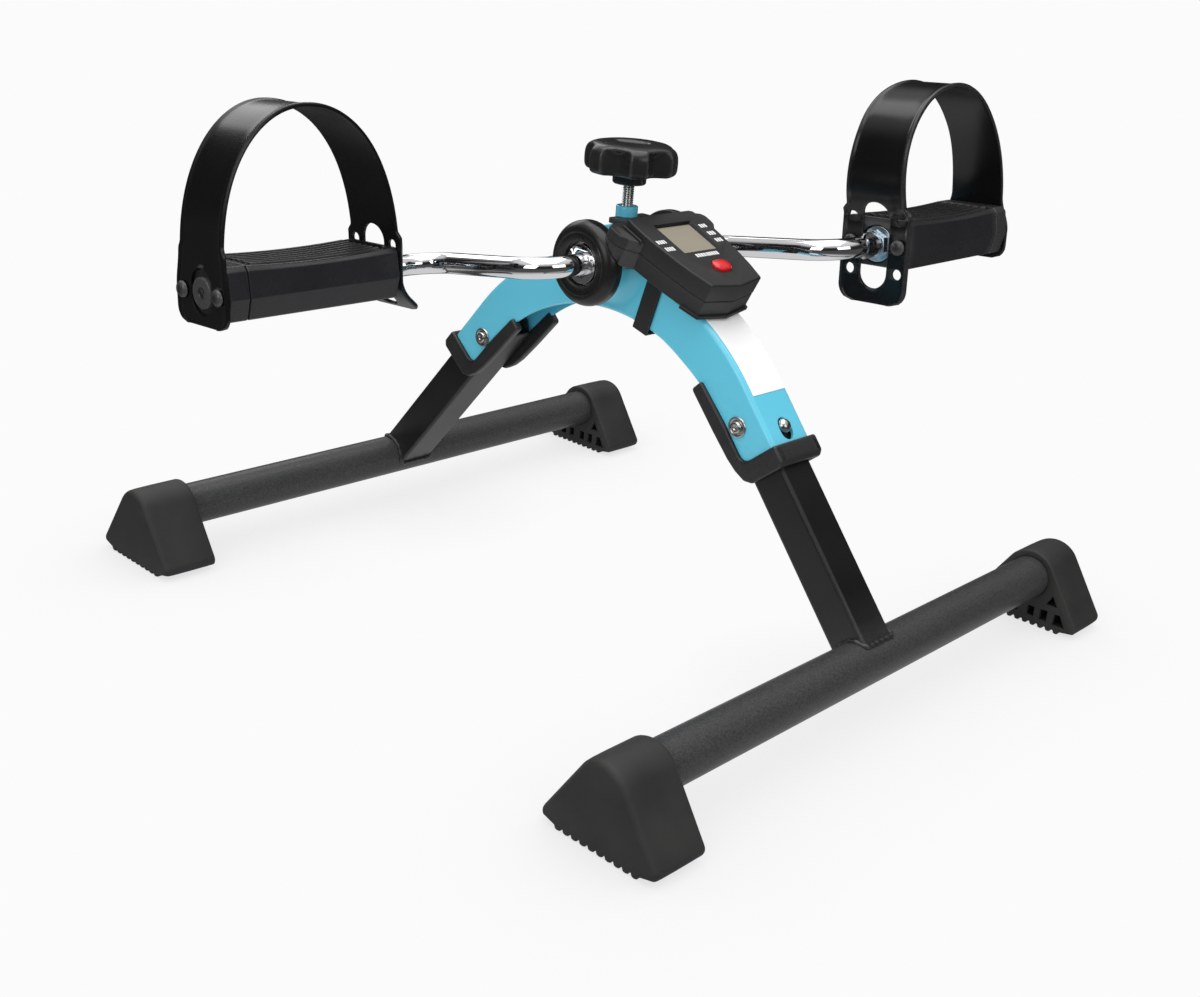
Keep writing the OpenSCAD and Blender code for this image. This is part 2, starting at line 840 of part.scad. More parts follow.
module counter_cover() {
    color("#2b2c2e")
        difference() {
            union() {
                post_fork();
                at_counter() {
                    translate([0, 0, -face_deep]) linear_extrude(face_deep) counter_outline();
                    translate([0, 0, -face_deep]) linear_extrude(face_deep + ear_top) ear_outline();
                    for (s = [-1, 1])
                        translate([s * 30.4, 11.8, ear_top]) cube([1.5, 14, 2.6], center = true);
                }
            }
            at_counter() {
                difference() {
                    union() {
                        translate([0, 0, -face_deep - 1]) linear_extrude(face_deep + 1 - shell) counter_outline(shell);
                        translate([0, 0, -face_deep - 1]) linear_extrude(face_deep - 0.9 + ear_top) ear_hollow();
                    }
                    screw_posts(2.6, -face_deep, 0);
                }
                cube([win_w, win_h, 10], center = true);
                button_cut(RUN * 3, 10);
                screw_posts(1.2, -face_deep - 1, -shell - 1);
            }
            frame_room();
        }
}

// Skirt that straddles the channel, with a raised floor for the battery in front
module counter_base() {
    floor_z = -10.1;
    color("#232426")
        difference() {
            at_counter()
                difference() {
                    union() {
                        difference() {
                            union() {
                                translate([0, 0, -base_deep])
                                    linear_extrude(base_deep - face_deep) counter_outline(0.3);
                                translate([0, 0, ear_low]) linear_extrude(-face_deep - ear_low) ear_outline();
                            }
                            translate([0, 0, -base_deep + shell]) linear_extrude(base_deep) counter_outline(shell + 1.3);
                            translate([0, 0, ear_low + shell]) linear_extrude(base_deep) ear_hollow();
                        }
                        translate([0, 0, floor_z])
                            linear_extrude(1.2)
                                intersection() {
                                    counter_outline(shell + 0.1);
                                    translate([-30, -60]) square([60, 60 + door_y + 9]);
                                }
                        translate([0, 0, -face_deep - 1])
                            linear_extrude(3)
                                difference() {
                                    counter_outline(shell + 0.1);
                                    counter_outline(shell + 1.3);
                                }
                        screw_posts(2.6, -base_deep, -face_deep);
                    }
                    translate([0, door_y, floor_z]) cube([24, 14, 10], center = true);
                    screw_posts(1.2, -base_deep - 1, 0);
                    screw_posts(2.7, -face_deep, 0);
                }
            frame_room();
        }
}

module counter_screws() {
    color("#8f9296")
        at_counter() {
            screw_posts(1.2, -base_deep - 0.8, -face_deep + 7);
            screw_posts(2.2, -base_deep - 0.8, -base_deep);
        }
}

// Band that holds the counter down on the channel
module counter_clip() {
    band = 11;
    wrap = 24.9;
    thick = 1.8;
    side = arch_w / 2 + 0.3;
    color("#161617")
        difference() {
            translate([0, -34.7, 196])
                rotate([15.7, 0, 0]) {
                    for (s = [-1, 1])
                        translate([s > 0 ? side : -side - thick, -band / 2, -wrap - thick])
                            cube([thick, band, wrap + thick + 4]);
                    translate([-side - thick, -band / 2, -wrap - thick])
                        cube([2 * (side + thick), band, thick]);
                }
            at_counter() translate([0, 0, -base_deep]) linear_extrude(60) counter_outline(-0.1);
            frame_room();
        }
}

module counter_lens() {
    color("#8c8470")
        at_counter() translate([0, 0, -shell - 0.5]) cube([win_w + 3, win_h + 3, 1], center = true);
}

module counter_display() {
    color("#6f6a58")
        at_counter() translate([0, 0, -shell - 1.9]) cube([win_w + 1, win_h + 1, 1.8], center = true);
}

module counter_board() {
    color("#2f6b3a")
        at_counter() translate([0, -8, -shell - 3.5]) cube([34, 50, 1.2], center = true);
}

module button_cut(gap, high) {
    half = 1.8;
    r = 4.5 + gap;
    translate([-half, btn_y, -high / 2]) cylinder(r = r, h = high);
    translate([half, btn_y, -high / 2]) cylinder(r = r, h = high);
    translate([-half, btn_y - r, -high / 2]) cube([2 * half, 2 * r, high]);
}

module counter_button() {
    color("#c8141a")
        at_counter() {
            translate([0, 0, 0.4]) button_cut(0, 2.8);
            translate([0, btn_y, -3.4]) cylinder(r = 3, h = 2.6);
        }
}

module coin_battery() {
    color("#b8bcc0")
        at_counter() translate([0, door_y, -8.8]) cylinder(r = 5.7, h = 2.7);
}

module battery_door() {
    color("#1c1c1d")
        at_counter() translate([0, door_y, -9.5]) cube([23.8, 13.8, 1.2], center = true);
}

module sensor_switch() {
    near = spindle_r + 0.8;
    color("#c8c8c8")
        at_hub()
            translate([magnet_x - 4, -(barrel_r - 2.4), -1.5]) cube([8, barrel_r - 2.4 - near, 3]);
}

module blank_label() {
    color("#f4f4f2")
        intersection() {
            along_x(29)
                difference() {
                    arch_side(-label_gap - label_t);
                    arch_side(-label_gap);
                }
            at_leg(false)
                translate([0, -arch_out, 32]) cube([29, 20, 44], center = true);
        }
}

arch_frame();
hub_barrel();
tension_post();
hub_bush(true);  // hub_bush_left
hub_bush(false);  // hub_bush_right
hub_cap(true);  // hub_cap_left
hub_cap(false);  // hub_cap_right
spindle();
crank_arm(true);  // crank_arm_left
crank_arm(false);  // crank_arm_right
arm_lock_screws();
thrust_washers();
sensor_magnet();
sensor_switch();
pedal_flange(true);  // pedal_flange_left
pedal_flange(false);  // pedal_flange_right
pedal_retainer(true);  // pedal_retainer_left
pedal_retainer(false);  // pedal_retainer_right
pedal_body(true);  // pedal_body_left
pedal_body(false);  // pedal_body_right
pedal_end_cap(true);  // pedal_end_cap_left
pedal_end_cap(false);  // pedal_end_cap_right
toe_strap(true);  // toe_strap_left
toe_strap(false);  // toe_strap_right
leg_guard(false);  // leg_guard_rear
leg_guard(true);  // leg_guard_front
pivot_bolt(false);  // pivot_bolt_rear
pivot_bolt(true);  // pivot_bolt_front
pivot_nut(false);  // pivot_nut_rear
pivot_nut(true);  // pivot_nut_front
pivot_washers(false);  // pivot_washers_rear
pivot_washers(true);  // pivot_washers_front
leg_tube(false);  // leg_tube_rear
leg_tube(true);  // leg_tube_front
pivot_spacer(false);  // pivot_spacer_rear
pivot_spacer(true);  // pivot_spacer_front
ground_bar(false);  // ground_bar_rear
ground_bar(true);  // ground_bar_front
foot(false, true);  // foot_rear_left
foot(false, false);  // foot_rear_right
foot(true, true);  // foot_front_left
foot(true, false);  // foot_front_right
snap_button(false);  // snap_button_rear
snap_button(true);  // snap_button_front
brake_shoe();
tension_screw();
tension_knob();
counter_cover();
counter_base();
counter_clip();
counter_screws();
counter_lens();
counter_display();
counter_board();
counter_button();
coin_battery();
battery_door();
blank_label();
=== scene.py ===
"""Looks of the pedal exerciser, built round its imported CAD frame. Lengths are in mm, and add() turns them
to metres. A few rigid pieces are copies of their CAD nodes with rounded edges. The other moulded, pressed
and bent pieces are modelled here over their CAD nodes."""

import bpy
import bmesh
import json
import math
from mathutils import Matrix, Vector, noise


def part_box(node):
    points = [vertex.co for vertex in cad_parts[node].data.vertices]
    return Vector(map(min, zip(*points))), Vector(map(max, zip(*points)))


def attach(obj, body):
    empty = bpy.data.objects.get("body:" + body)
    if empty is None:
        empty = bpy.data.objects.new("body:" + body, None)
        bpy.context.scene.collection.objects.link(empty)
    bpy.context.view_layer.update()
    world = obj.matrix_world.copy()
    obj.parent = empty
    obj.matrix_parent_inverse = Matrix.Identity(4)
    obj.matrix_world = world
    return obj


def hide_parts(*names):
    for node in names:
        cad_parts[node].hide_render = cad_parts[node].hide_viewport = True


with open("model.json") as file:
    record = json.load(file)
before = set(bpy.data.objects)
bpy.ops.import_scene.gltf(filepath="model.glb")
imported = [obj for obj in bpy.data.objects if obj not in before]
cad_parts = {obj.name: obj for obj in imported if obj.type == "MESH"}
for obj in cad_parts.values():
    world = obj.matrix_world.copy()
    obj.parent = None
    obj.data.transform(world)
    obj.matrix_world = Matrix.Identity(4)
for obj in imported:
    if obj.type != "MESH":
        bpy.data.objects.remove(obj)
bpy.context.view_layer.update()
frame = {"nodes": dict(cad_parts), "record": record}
NODES = frame["nodes"]
BODY = {n: b for b, ns in frame["record"]["behaviour"]["bodies"].items() for n in ns}
MM = Matrix.Scale(0.001, 4)


# ---- materials

MAT = {}


def node(tree, kind, **values):
    """A shader node, with its settings and then its inputs set by name."""
    n = tree.nodes.new("ShaderNode" + kind)
    for k, v in values.items():
        if k in n.inputs:
            n.inputs[k].default_value = v
        else:
            setattr(n, k, v)
    return n


def wire(tree, *joins):
    """Joins sockets, each given as node, output, node, input."""
    for a, output, b, put in joins:
        tree.links.new(a.outputs[output], b.inputs[put])


def finish_of(name, colour, rough, metal=0.0, other=None, mottle=0.35, mottle_scale=45, rough_var=0.08,
              grain=0.02, grain_scale=900, wear_and_highlight=0.0, wear_and_highlight_colour=(0.4, 0.4, 0.4), coat=0.0, edge=0.5,
              spec=0.4):
    """A finish with cloudy colour, uneven gloss, a fine grain, softened edges and a lighter colour on the sharpest
    edges, which is partly wear and partly a painted edge highlight.
    """
    m = MAT[name] = bpy.data.materials.new(name)
    m.use_nodes = True
    t = m.node_tree
    bsdf = t.nodes["Principled BSDF"]
    for k, v in (("Metallic", metal), ("Specular IOR Level", spec), ("Coat Weight", coat), ("Coat Roughness", 0.12)):
        bsdf.inputs[k].default_value = v
    place = node(t, "TexCoord")
    cloud = node(t, "TexNoise", Scale=mottle_scale, Detail=4.0)
    spread = node(t, "MapRange", **{"From Min": 0.3, "From Max": 0.7})
    other = other or [c * (1 - mottle) for c in colour]
    tone = node(t, "Mix", data_type="RGBA", A=(*other, 1), B=(*colour, 1))
    fine = node(t, "TexNoise", Scale=grain_scale, Detail=3.0)
    gloss = node(t, "MapRange", **{"To Min": max(0.02, rough - rough_var), "To Max": min(1.0, rough + rough_var)})
    bump = node(t, "Bump", Strength=min(1.0, grain * 10), Distance=grain * 0.001)
    wire(t, (place, "Object", cloud, "Vector"), (cloud, "Fac", spread, "Value"), (spread, "Result", tone, "Factor"),
         (place, "Object", fine, "Vector"), (cloud, "Fac", gloss, "Value"), (gloss, "Result", bsdf, "Roughness"),
         (fine, "Fac", bump, "Height"), (bump, "Normal", bsdf, "Normal"))
    shade = tone
    # Partly wear and partly painted edge highlight: the sharpest convex edges, found by pointiness, are lightened in
    # speckles towards a lighter colour.
    if wear_and_highlight:
        geo = node(t, "NewGeometry")
        edge_wear_and_highlight = node(t, "MapRange", **{"From Min": 0.515, "From Max": 0.60, "To Max": wear_and_highlight})
        patch = node(t, "Math", operation="MULTIPLY")
        shade = node(t, "Mix", data_type="RGBA", B=(*wear_and_highlight_colour, 1))
        wire(t, (geo, "Pointiness", edge_wear_and_highlight, "Value"), (edge_wear_and_highlight, "Result", patch, 0), (fine, "Fac", patch, 1),
             (patch, "Value", shade, "Factor"), (tone, "Result", shade, "A"))
    wire(t, (shade, "Result", bsdf, "Base Color"))
    if edge:
        soft = node(t, "Bevel", samples=4, Radius=edge * 0.001)
        wire(t, (soft, "Normal", bump, "Normal"))
    return m


# The blue paint's sharp edges turn a lighter blue: partly wear and partly a painted highlight along the bends.
finish_of("arch_paint", (0.112, 0.540, 0.715), 0.28, mottle=0.03, mottle_scale=5, rough_var=0.03, grain=0.010,
          grain_scale=420, coat=0.5, edge=0.6, wear_and_highlight=0.12, wear_and_highlight_colour=(0.5, 0.75, 0.82))
finish_of("black_paint", (0.0075, 0.0075, 0.008), 0.34, mottle=0.3, mottle_scale=30, grain=0.03,
          grain_scale=1100, edge=1.0, wear_and_highlight=0.2)
# The round bars carry a darker, less glossy copy of the same paint as the legs: painted shade that holds down the
# light on their tops.
finish_of("bar_paint_painted_shade", (0.0045, 0.0045, 0.0048), 0.36, mottle=0.3, mottle_scale=30, grain=0.03,
          grain_scale=1100, edge=1.0, wear_and_highlight=0.2, spec=0.24)
finish_of("chrome", (0.90, 0.90, 0.92), 0.055, 1.0, mottle=0.03, rough_var=0.02, grain=0.004, grain_scale=260,
          edge=0.4)
finish_of("zinc", (0.56, 0.66, 0.72), 0.26, 1.0, other=(0.40, 0.50, 0.58), mottle_scale=120, rough_var=0.1,
          grain=0.02, grain_scale=700, edge=0.4)
finish_of("steel", (0.62, 0.62, 0.60), 0.24, 1.0, mottle=0.2, mottle_scale=150, rough_var=0.1, grain=0.01,
          edge=0.4)
finish_of("foot_rubber", (0.024, 0.023, 0.022), 0.62, other=(0.015, 0.015, 0.0145), mottle_scale=38, grain=0.05,
          grain_scale=1500, edge=1.5, wear_and_highlight=0.35, wear_and_highlight_colour=(0.10, 0.10, 0.09))
finish_of("pedal_plastic", (0.0175, 0.0175, 0.0195), 0.27, mottle=0.15, mottle_scale=40, grain=0.015,
          grain_scale=1300, edge=0.25, wear_and_highlight=0.5)
finish_of("strap_plastic", (0.005, 0.005, 0.0055), 0.22, mottle=0.2, mottle_scale=28, grain=0.012,
          grain_scale=700, edge=0.5, wear_and_highlight=0.25)
finish_of("guard_plastic", (0.009, 0.009, 0.009), 0.36, mottle=0.25, grain=0.03, edge=0.8, wear_and_highlight=0.3)
finish_of("cap_plastic", (0.010, 0.010, 0.0092), 0.28, mottle=0.25, grain=0.015, edge=0.6, wear_and_highlight=0.2)
finish_of("knob_plastic", (0.016, 0.016, 0.016), 0.23, mottle=0.2, grain=0.015, edge=0.6, wear_and_highlight=0.25)
finish_of("counter_plastic", (0.0095, 0.0095, 0.0098), 0.42, mottle=0.12, mottle_scale=60, grain=0.045,
          grain_scale=2600, edge=0.6, wear_and_highlight=0.35, wear_and_highlight_colour=(0.2, 0.2, 0.2), spec=0.3)
finish_of("nylon", (0.62, 0.60, 0.52), 0.45, mottle=0.1)
finish_of("brake_pad", (0.12, 0.06, 0.03), 0.8, mottle=0.4, grain=0.08)
finish_of("lens", (0.285, 0.255, 0.195), 0.16, mottle=0.05, mottle_scale=20, grain=0.004, grain_scale=300,
          coat=0.15, edge=0)
finish_of("lcd", (0.16, 0.145, 0.11), 0.4, mottle=0.05, edge=0)
finish_of("board", (0.03, 0.16, 0.06), 0.5, mottle=0.2)
finish_of("button_red", (0.62, 0.012, 0.016), 0.22, mottle=0.1, grain=0.008, grain_scale=500, coat=0.2,
          edge=0.3)
finish_of("battery", (0.6, 0.6, 0.6), 0.3, 1.0, mottle=0.1)
finish_of("label", (0.93, 0.93, 0.93), 0.38, mottle=0.04, mottle_scale=60, grain=0.01, grain_scale=700,
          coat=0.15, edge=0)
finish_of("legend_white", (0.78, 0.78, 0.78), 0.5, mottle=0.06, edge=0)

# Finish of each CAD node, by how its name starts. The first match counts.
SLOT_OF = [(start, slot) for slot, starts in (
    ("arch_paint", "arch_frame hub_barrel tension_post"), ("nylon", "hub_bush pivot_washers"),
    ("cap_plastic", "hub_cap"), ("chrome", "spindle crank_arm"), ("zinc", "pedal_flange"),
    ("steel", "arm_lock thrust sensor pedal_retainer pivot_ snap_button tension_screw counter_screws"),
    ("strap_plastic", "toe_strap"), ("guard_plastic", "leg_guard"), ("black_paint", "leg_tube ground_bar"),
    ("foot_rubber", "foot_"), ("brake_pad", "brake_shoe"), ("knob_plastic", "tension_knob"),
    ("lens", "counter_lens"), ("lcd", "counter_display"), ("board", "counter_board"),
    ("button_red", "counter_button"), ("battery", "coin_battery"), ("label", "blank_label"),
    ("pedal_plastic", "pedal_"), ("counter_plastic", "counter_ battery_door")) for start in starts.split()]


def slot_of(name):
    return next(s for start, s in SLOT_OF if name.startswith(start))


for name, o in NODES.items():
    # The ground bars take the darker copy of the leg paint, which is painted shade.
    finish = MAT["bar_paint_painted_shade" if name.startswith("ground_bar") else slot_of(name)]
    if not o.material_slots:
        o.data.materials.append(finish)
    for s in o.material_slots:
        s.material = finish


# ---- helpers

def mid(name):
    """Centre of a CAD node, in mm."""
    lo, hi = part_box(name)
    return (lo + hi) * 500


def spans(name):
    """Size of a CAD node along X, Y and Z, in mm."""
    return [(b - a) * 1000 for a, b in zip(*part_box(name))]


def add(name, bm, body, slot, at=None, stands_for=(), smooth=40, finish=None):
    """Turns a bmesh in mm into a piece that rides on a body. Edges sharper than `smooth` degrees stay crisp."""
    bm.transform(MM @ (at or Matrix.Identity(4)))
    bmesh.ops.recalc_face_normals(bm, faces=bm.faces)
    for f in bm.faces:
        f.smooth = True
    for e in bm.edges:
        if len(e.link_faces) == 2 and e.calc_face_angle(0) > math.radians(smooth):
            e.smooth = False
    mesh = bpy.data.meshes.new(name)
    bm.to_mesh(mesh)
    bm.free()
    mesh.materials.append(finish or MAT[slot])
    o = bpy.data.objects.new(name, mesh)
    bpy.context.scene.collection.objects.link(o)
    even_light = o.modifiers.new("even_light", "WEIGHTED_NORMAL")
    even_light.keep_sharp = True
    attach(o, body)
    if stands_for:
        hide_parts(*stands_for)


def stand_in(name, bm, slot, at=None, smooth=40, finish=None):
    """A piece that is shown in place of its CAD node."""
    add(name + "_fine", bm, BODY[name], slot, at, [name], smooth, finish)


def soften(name, width):
    """A copy of a CAD node with its flat faces joined up and its edges rounded."""
    bm = bmesh.new()
    bm.from_mesh(NODES[name].data)
    bmesh.ops.remove_doubles(bm, verts=bm.verts, dist=3e-6)
    bmesh.ops.dissolve_degenerate(bm, edges=bm.edges, dist=3e-6)
    bmesh.ops.dissolve_limit(bm, angle_limit=math.radians(1.2), verts=bm.verts, edges=bm.edges)
    for f in bm.faces:
        f.smooth = True
    mesh = bpy.data.meshes.new(name + "_fine")
    bm.to_mesh(mesh)
    bm.free()
    mesh.materials.append(MAT[slot_of(name)])
    o = bpy.data.objects.new(name + "_fine", mesh)
    bpy.context.scene.collection.objects.link(o)
    mod = o.modifiers.new("edges", "BEVEL")
    mod.width = width * 0.001
    mod.segments = 3
    mod.limit_method = "ANGLE"
    mod.angle_limit = math.radians(32)
    mod.harden_normals = True
    mod.miter_outer = "MITER_ARC"
    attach(o, BODY[name])
    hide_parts(name)


def loft(bm, rings, ends="cap"):
    """Joins rings of equal length into a skin. Its ends are filled, left open, or the last joins the first."""
    rows = [[bm.verts.new(p) for p in ring] for ring in rings]
    n = len(rows[0])
    for a, b in list(zip(rows, rows[1:])) + ([(rows[-1], rows[0])] if ends == "join" else []):
        for i in range(n):
            j = (i + 1) % n
            bm.faces.new((a[i], a[j], b[j], b[i]))
    if ends == "cap":
        bm.faces.new(rows[0])
        bm.faces.new(rows[-1])


def steps_round(n):
    """So many even angles round a circle."""
    return [2 * math.pi * i / n for i in range(n)]


def round_x(profile, steps, y=0.0, z=0.0):
    """Rings of (radius, along) points about a line along X."""
    return [[(a, y + r * math.cos(t), z + r * math.sin(t)) for t in steps_round(steps)] for r, a in profile]


def oval(rx, ry, z, steps):
    """A level ring about the Z axis."""
    return [(rx * math.cos(t), ry * math.sin(t), z) for t in steps_round(steps)]


def skin(rings, ends="cap"):
    """A new bmesh lofted through rings."""
    bm = bmesh.new()
    loft(bm, rings, ends)
    return bm


def lathe(profile, steps):
    """Turns (radius, along) points about the X axis."""
    return skin(round_x(profile, steps))


def arc(cx, cy, r, a0, a1, n):
    """Points along an arc between two angles in degrees."""
    return [(cx + r * math.cos(math.radians(a0 + (a1 - a0) * i / n)),
             cy + r * math.sin(math.radians(a0 + (a1 - a0) * i / n))) for i in range(n + 1)]


def scratch(bm):
    """A passing object of a closed bmesh, for the boolean tool."""
    mesh = bpy.data.meshes.new("scratch")
    bmesh.ops.recalc_face_normals(bm, faces=bm.faces)
    bm.to_mesh(mesh)
    bm.free()
    o = bpy.data.objects.new("scratch", mesh)
    bpy.context.scene.collection.objects.link(o)
    return o


def cut(bm, cutter):
    """One closed bmesh less another, as a new bmesh."""
    a, b = scratch(bm), scratch(cutter)
    mod = a.modifiers.new("cut", "BOOLEAN")
    mod.object = b
    mod.operation = "DIFFERENCE"
    mod.solver = "EXACT"
    mod.use_self = True
    bpy.context.view_layer.update()
    made = bpy.data.meshes.new_from_object(a.evaluated_get(bpy.context.evaluated_depsgraph_get()))
    out = bmesh.new()
    out.from_mesh(made)
    for o in (a, b):
        bpy.data.objects.remove(o)
    return out


def level(outline, h, axis="Z"):
    """The flat outline at a height along Z or X."""
    return [(x, y, h) for x, y in outline] if axis == "Z" else [(h, x, y) for x, y in outline]


def prism(bm, outline, z0, z1, axis="Z"):
    """A straight block over an outline, along Z or X."""
    loft(bm, [level(outline, z0, axis), level(outline, z1, axis)])


def bored(bm, *holes):
    """A closed bmesh less straight holes, each given as outline, start, end and axis."""
    tool = bmesh.new()
    for hole in holes:
        prism(tool, *hole)
    return cut(bm, tool)


def way_round(pts):
    """1 for an outline that runs anticlockwise, -1 for one that runs clockwise."""
    return 1 if sum(a.x * b.y - b.x * a.y for a, b in zip(pts, pts[1:] + pts[:1])) > 0 else -1


def inset(outline, d):
    """The outline moved inwards by d at every corner."""
    pts = [Vector(p) for p in outline]
    n, turn = len(pts), way_round(pts)
    out = []
    for i in range(n):
        e0, e1 = (pts[i] - pts[i - 1]).normalized(), (pts[(i + 1) % n] - pts[i]).normalized()
        n0, n1 = Vector((-e0.y, e0.x)) * turn, Vector((-e1.y, e1.x)) * turn
        m = (n0 + n1).normalized() if (n0 + n1).length > 1e-6 else n0
        q = pts[i] + m * (d / max(0.4, m.dot(n0)))
        out.append((q.x, q.y))
    return out


def rounded(outline, radius, steps=5):
    """The outline with its corners turned into arcs; radius is one number or one for each corner."""
    n, out = len(outline), []
    for i, p in enumerate(outline):
        r = radius[i] if isinstance(radius, (list, tuple)) else radius
        a, b, c = Vector(outline[i - 1]), Vector(p), Vector(outline[(i + 1) % n])
        u, v = (a - b).normalized(), (c - b).normalized()
        half = u.angle(v) / 2
        cut_back = min(r / max(1e-6, math.tan(half)), (a - b).length * 0.48, (c - b).length * 0.48)
        if r <= 0 or half > math.radians(86):
            out.append(tuple(b))
            continue
        for k in range(steps + 1):
            f = k / steps
            q = (b + u * cut_back) * (1 - f) ** 2 + b * 2 * f * (1 - f) + (b + v * cut_back) * f * f
            out.append(tuple(q))
    return out


def ring_of(sharp, radius, d=0.0, steps=4):
    """A sharp outline moved inwards by d and then rounded, so that the rings of one block never cross."""
    pts = [Vector(p) for p in sharp]
    n, turn = len(pts), way_round(pts)
    radii = radius if isinstance(radius, (list, tuple)) else [radius] * n
    fit = []
    for i, r in enumerate(radii):
        bend = (pts[i] - pts[i - 1]).cross(pts[(i + 1) % n] - pts[i])
        fit.append(0 if r <= 0 else max(0.12, r - d) if bend * turn > 0 else r + d)
    return rounded(inset(sharp, d), fit, steps)


def pillow(bm, sharp, radius, a0, a1, r, axis="X", steps=3, parts=1):
    """A block over an outline whose end faces have rounded rims."""
    rim = [(a0 + r * (1 - math.cos(t)), r * (1 - math.sin(t)))
           for t in (math.pi / 2 * k / steps for k in range(steps + 1))]
    middle = [(a0 + r + (a1 - a0 - 2 * r) * k / parts, 0.0) for k in range(1, parts)]
    levels = rim + middle + [(a0 + a1 - a, d) for a, d in reversed(rim)]
    loft(bm, [level(ring_of(sharp, radius, d), a, axis) for a, d in levels])


def box_of(w, h):
    """A rectangle about the origin."""
    return [(w / 2, h / 2), (-w / 2, h / 2), (-w / 2, -h / 2), (w / 2, -h / 2)]


def circle(x, y, r, n):
    return [(x + r * math.cos(t), y + r * math.sin(t)) for t in steps_round(n)]


def turned(deg):
    return Matrix.Rotation(math.radians(deg), 4, "X")


MIRROR_X = Matrix.Diagonal((-1, 1, 1, 1))
MIRROR_Y = Matrix.Diagonal((1, -1, 1, 1))
HUB = mid("spindle")
LENS = mid("counter_lens")
CRANK_LEAN, PEDAL_LEAN, LEG_TILT, FACE_TILT = 9.1, 4.0, 40.2, 23.4
FACE_OVER_LENS = 2.3
AT_FACE = Matrix.Translation(LENS) @ turned(FACE_TILT) @ Matrix.Translation((0, 0, FACE_OVER_LENS))


def hand(left):
    return "left" if left else "right"


def end_of(front):
    return "front" if front else "rear"


def side_of(left):
    """Paired pieces are drawn for the right-hand side and mirrored for the left."""
    return MIRROR_X if left else Matrix.Identity(4)


def at_pedal(left):
    """A pedal's axis, outwards along X, with the tread upwards."""
    c = mid("pedal_retainer_" + hand(left))
    return Matrix.Translation((0, c.y, c.z)) @ side_of(left) @ turned(-PEDAL_LEAN)


def at_crank(left):
    """The hub's axis, outwards along X, with the arm along Y."""
    return side_of(left) @ Matrix.Translation(HUB) @ turned(-CRANK_LEAN if left else 180 - CRANK_LEAN)


def at_leg(front):
    """A leg's pivot, with the leg down along Z."""
    c = mid("pivot_spacer_" + end_of(front))
    m = MIRROR_Y if front else Matrix.Identity(4)
    return m @ Matrix.Translation((0, -abs(c.y), c.z)) @ turned(-LEG_TILT)


# ---- toe straps

def cubic(p, t):
    """The point at t on a cubic curve through its four control points."""
    share = ((1 - t) ** 3, 3 * t * (1 - t) ** 2, 3 * t * t * (1 - t), t ** 3)
    return sum((Vector(q) * w for q, w in zip(p, share)), Vector((0, 0)))


def even(points, step):
    """The same line with points at even spacing, and its length."""
    run = [0.0]
    for a, b in zip(points, points[1:]):
        run.append(run[-1] + (b - a).length)
    count = int(run[-1] / step)
    out, k = [], 0
    for i in range(count + 1):
        s = run[-1] * i / count
        while k < len(points) - 2 and run[k + 1] < s:
            k += 1
        f = (s - run[k]) / max(1e-9, run[k + 1] - run[k])
        out.append(points[k].lerp(points[k + 1], f))
    return out, run[-1]


STUD_OFF, HOLE_PITCH = 16, 15.2


